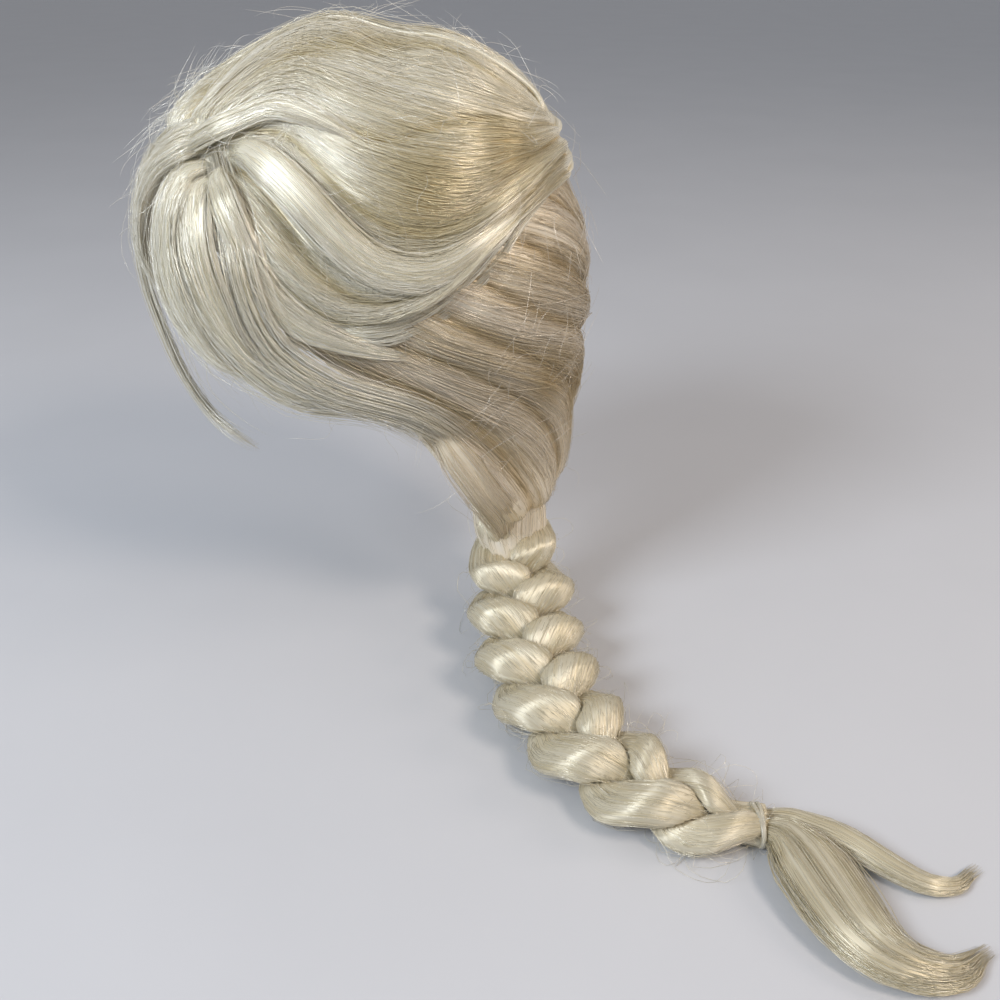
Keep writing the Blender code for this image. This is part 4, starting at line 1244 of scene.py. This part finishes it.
def raised_lock(name, spots, half_width, half_depth, core, count, seed, skin, fibre):
    """A flat bundle with its fibres, both drawn to a point that sinks into what lies below."""
    azimuth, elevation, distance = np.array(spots, float).T
    ways = unit(azimuth, elevation)
    laid = hair_radius(ways, elevation) + LAID_OVER
    distance = np.where(distance > 0, distance / 1000, laid)
    line = smooth_line(CENTRE + ways * distance[:, None], RAISED_RINGS)
    tangents, outwards, across = line_frame(line)
    across = normed(across)
    share = np.linspace(0, 1, RAISED_RINGS)
    sink = ROOT_SINK * ease((0.16 - share) / 0.16) + END_SINK * ease((share - 0.8) / 0.2)
    line = line - outwards * sink[:, None]
    size = np.clip(np.minimum(0.35 + share / 0.30, 0.04 + (1 - share) / 0.42), 0, 1) ** 1.1
    up = np.cross(across, tangents)

    def lock_of(size, ridge):
        turns = 2 * math.pi * np.arange(16) / 16
        grid = ovals(line, across, up, half_width * size, half_depth * size, turns)
        return bundle_of(grid, rng, ridge)

    rng = np.random.default_rng(seed)
    frayed = np.maximum(size, 0.5 * ease((share - 0.5) / 0.3)) if core < FRAYED else size
    bundle = lock_of(frayed, 0.0004)
    held = np.clip(size * (0.72 - share) / 0.40, 0.02, size) if core < FRAYED else size
    bundle_skin(f"{name}_skin", lock_of(core * held, 0.0), skin)
    bundle_fibres(f"{name}_fibres", bundle, count, 11, seed, fibre, run=(0.5, 0.95),
                  depth=0.0006, stray=0.12, frizz=0.006)
    if core < 0.8 and count > 120:
        bundle_fibres(f"{name}_filling", lock_of((core + 1) / 2 * size, 0.0), count // 2, 11,
                      seed + 60, fibre, run=(0.5, 0.95), depth=0.0006)


for side, turn, seed in (("left", tuple, 130), ("right", mirror, 90)):
    for kind, (spots, *shape, count) in RAISED_LOCKS.items():
        count = count if side == "left" else count * 2 // 5
        raised_lock(f"{kind}_{side}", turn(spots), *shape, count, seed, top_skin, top_fibre)
        seed += 1
raised_lock("nape_lock_side", *NAPE_LOCK, 150, fall_skin, fall_fibre)

# %% [markdown]
# ## Flyaways
# Static electricity lifts single fibres off any synthetic wig. They stand off the crown and the
# hairline in loose curls, thinner than the mass, and soften its outline. Their tint is set pale, as
# painted light on lone fibres.

# %% Flyaway fibres
FLYAWAY_LENGTHS = (0.015, 0.055)
CROWN_SPOTS = (  # azimuth, elevation, spread in degrees, share of the fibres
    (30, 50, 14, 5), (10, 45, 14, 3), (90, 70, 25, 3), (160, 60, 20, 3), (90, 40, 30, 2),
    (-30, 50, 20, 3), (200, 50, 25, 2), (270, 45, 30, 2),
)
BACK_SPOTS = (
    (150, 5, 25, 3), (130, -25, 20, 2), (170, -30, 15, 2), (215, 0, 25, 2), (230, -25, 20, 2),
)


def flyaways(name, spots, count, seed, reach, finish):
    """Single curling fibres that leave the combed hair at places drawn round the given ones."""
    rng = np.random.default_rng(seed)
    spots = np.array(spots, float)
    picked = rng.choice(len(spots), count, p=spots[:, 3] / spots[:, 3].sum())
    azimuth = spots[picked, 0] + rng.normal(0, 1, count) * spots[picked, 2]
    elevation = np.clip(spots[picked, 1] + rng.normal(0, 0.7, count) * spots[picked, 2], -50, 88)
    ways = unit(azimuth, elevation)
    points = 11
    share = np.linspace(0, 1, points)[None, :]
    length = rng.uniform(*FLYAWAY_LENGTHS, count)
    level = normed(np.cross(ways, (0.0, 0.0, 1.0)))
    climb = np.cross(level, ways)
    heading = rng.uniform(0, 2 * math.pi, count)[:, None] + 1.1 * wander(rng, count, points, 2)
    step = length[:, None] / points
    sideways = np.cumsum(np.cos(heading) * step, axis=1)
    upward = np.cumsum(np.sin(heading) * step, axis=1)
    off = reach * rng.uniform(0.2, 1.0, count)[:, None] * share**0.8 + 0.001
    off = off * (1 - rng.uniform(0, 0.8, count)[:, None] * share**2)
    radius = hair_radius(ways, elevation)[:, None] + 0.002 + off
    paths = (
        CENTRE
        + ways[:, None] * radius[..., None]
        + level[:, None] * sideways[..., None]
        + climb[:, None] * upward[..., None]
    )
    widths = rng.uniform(0.00013, 0.00020, count)
    # Painted light: every flyaway takes the pale end of the tint.
    fibre_mesh(name, paths, widths, np.full((count, 1), 0.9), finish)


flyaways("crown_flyaways", CROWN_SPOTS, 400, 201, 0.016, top_fibre)
flyaways("back_flyaways", BACK_SPOTS, 200, 203, 0.009, fall_fibre)

# %% [markdown]
# ## The cap and the elastic
# The hair is machine sewn on a cap of stretch net, whose mesh is a few millimetres wide. It shows
# only from below and inside. The net's threads cross at a real pitch: the sine of the height and of
# the distance round the cap is 0 on a thread, and the smaller of the two tells thread from hole. A
# clear polyurethane ring, wound twice, holds the plait's end.

# %% Cap net
NET_PITCH = 0.0035
CAP_RADIUS = 0.085

# Nylon thread, knitted: matt, pale on the threads, with a slight relief. The holes are painted a
# darker gold, as painted shade of the hair seen through them.
net, tree, shader = new_material("knitted_nylon_stretch_net")
where = add_node(tree, "ShaderNodeTexCoord")
spot = add_node(tree, "ShaderNodeSeparateXYZ", {"Vector": where.outputs["Object"]})
bearing = add_node(tree, "ShaderNodeMath", {
    "operation": "ARCTAN2", 0: spot.outputs["X"], 1: spot.outputs["Y"],
})
threads = []
for socket, radius in ((spot.outputs["Z"], 1.0), (bearing.outputs[0], CAP_RADIUS)):
    times = math.pi * radius / NET_PITCH
    phase = add_node(tree, "ShaderNodeMath", {"operation": "MULTIPLY", 0: socket, 1: times})
    wave = add_node(tree, "ShaderNodeMath", {"operation": "SINE", 0: phase.outputs[0]})
    far = add_node(tree, "ShaderNodeMath", {"operation": "ABSOLUTE", 0: wave.outputs[0]})
    threads.append(far.outputs[0])
hole = add_node(tree, "ShaderNodeMath", {"operation": "MINIMUM", 0: threads[0], 1: threads[1]})
tone = add_node(tree, "ShaderNodeValToRGB", {"Fac": hole.outputs[0]})
thread, gap = tone.color_ramp.elements
thread.position, thread.color = 0.30, linear("#E4D8BC")
# Painted shade: the holes' darker gold.
gap.position, gap.color = 0.62, linear("#B39C73")
knots = add_node(tree, "ShaderNodeBump", {
    "Strength": 0.7, "Distance": 0.0005, "invert": True, "Height": hole.outputs[0],
})
fill(tree, shader, {
    "Base Color": tone.outputs["Color"], "Normal": knots.outputs["Normal"], "Roughness": 0.62,
})
cap = nodes["wig_cap"]
cap.data.materials.clear()
cap.data.materials.append(net)
bpy.ops.object.select_all(action="DESELECT")
cap.select_set(True)
bpy.context.view_layer.objects.active = cap
bpy.ops.object.shade_smooth()
bpy.ops.object.select_all(action="DESELECT")
print("cap, mm:", [round(1000 * side) for side in cap.dimensions])

# %% Elastic material
HAZE_SIZE = 1 / 900  # metres

# Polyurethane, injection moulded: a glossy surface over a clear, slightly hazy body.
elastic, tree, shader = new_material("clear_polyurethane_elastic")
where = add_node(tree, "ShaderNodeTexCoord")
haze = add_node(tree, "ShaderNodeTexNoise", {
    "Scale": 1 / HAZE_SIZE, "Detail": 2.0, "Vector": where.outputs["Object"],
})
cloudy = add_node(tree, "ShaderNodeValToRGB", {"Fac": haze.outputs["Fac"]})
cloudy.color_ramp.elements[0].color = linear("#E9E2CC")
cloudy.color_ramp.elements[1].color = linear("#F6F1E2")
fill(tree, shader, {
    "Base Color": cloudy.outputs["Color"], "Roughness": 0.22, "IOR": 1.50,
    "Transmission Weight": 0.55,
})

# %% Elastic ring
RING_RADIUS = 0.0102
CORD_RADIUS = 0.0010
TURN_SHIFT = 0.0009
FLATTENING = (0.80, 1.12, 1.0)
low, high = (np.array(corner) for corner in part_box("plait_band"))
end_way = np.gradient(middle, axis=0)[-3]
rings = []
for sign in (-1, 1):
    bpy.ops.mesh.primitive_torus_add(
        major_radius=RING_RADIUS, minor_radius=CORD_RADIUS, major_segments=56, minor_segments=12,
        location=(0, 0, sign * TURN_SHIFT), rotation=(math.radians(4 * sign), 0, 0),
    )
    rings.append(bpy.context.object)
bpy.ops.object.select_all(action="DESELECT")
for ring in rings:
    ring.select_set(True)
bpy.context.view_layer.objects.active = rings[0]
bpy.ops.object.join()
ring = bpy.context.object
ring.name = "plait_elastic"
bpy.ops.object.transform_apply(location=True, rotation=True, scale=True)
ring.scale = FLATTENING
bpy.ops.object.transform_apply(location=False, rotation=False, scale=True)
ring.rotation_euler = (0, math.radians(90), math.atan2(end_way[1], end_way[0]))
ring.location = Vector((low + high) / 2)
bpy.ops.object.transform_apply(location=True, rotation=True, scale=True)
bpy.ops.object.shade_smooth()
ring.data.materials.append(elastic)
bpy.ops.object.select_all(action="DESELECT")
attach(ring, "root")
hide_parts("plait_band")
print("ring, mm:", [round(1000 * side, 1) for side in ring.dimensions])

# %% Sizes and finish
added = [o for o in bpy.data.objects if o.type == "MESH" and o.name not in nodes and o != floor]
faces = {o.name: sum(len(p.vertices) - 2 for p in o.data.polygons) for o in added}
print("triangles added:", sum(faces.values()), "largest piece:", max(faces.values()))
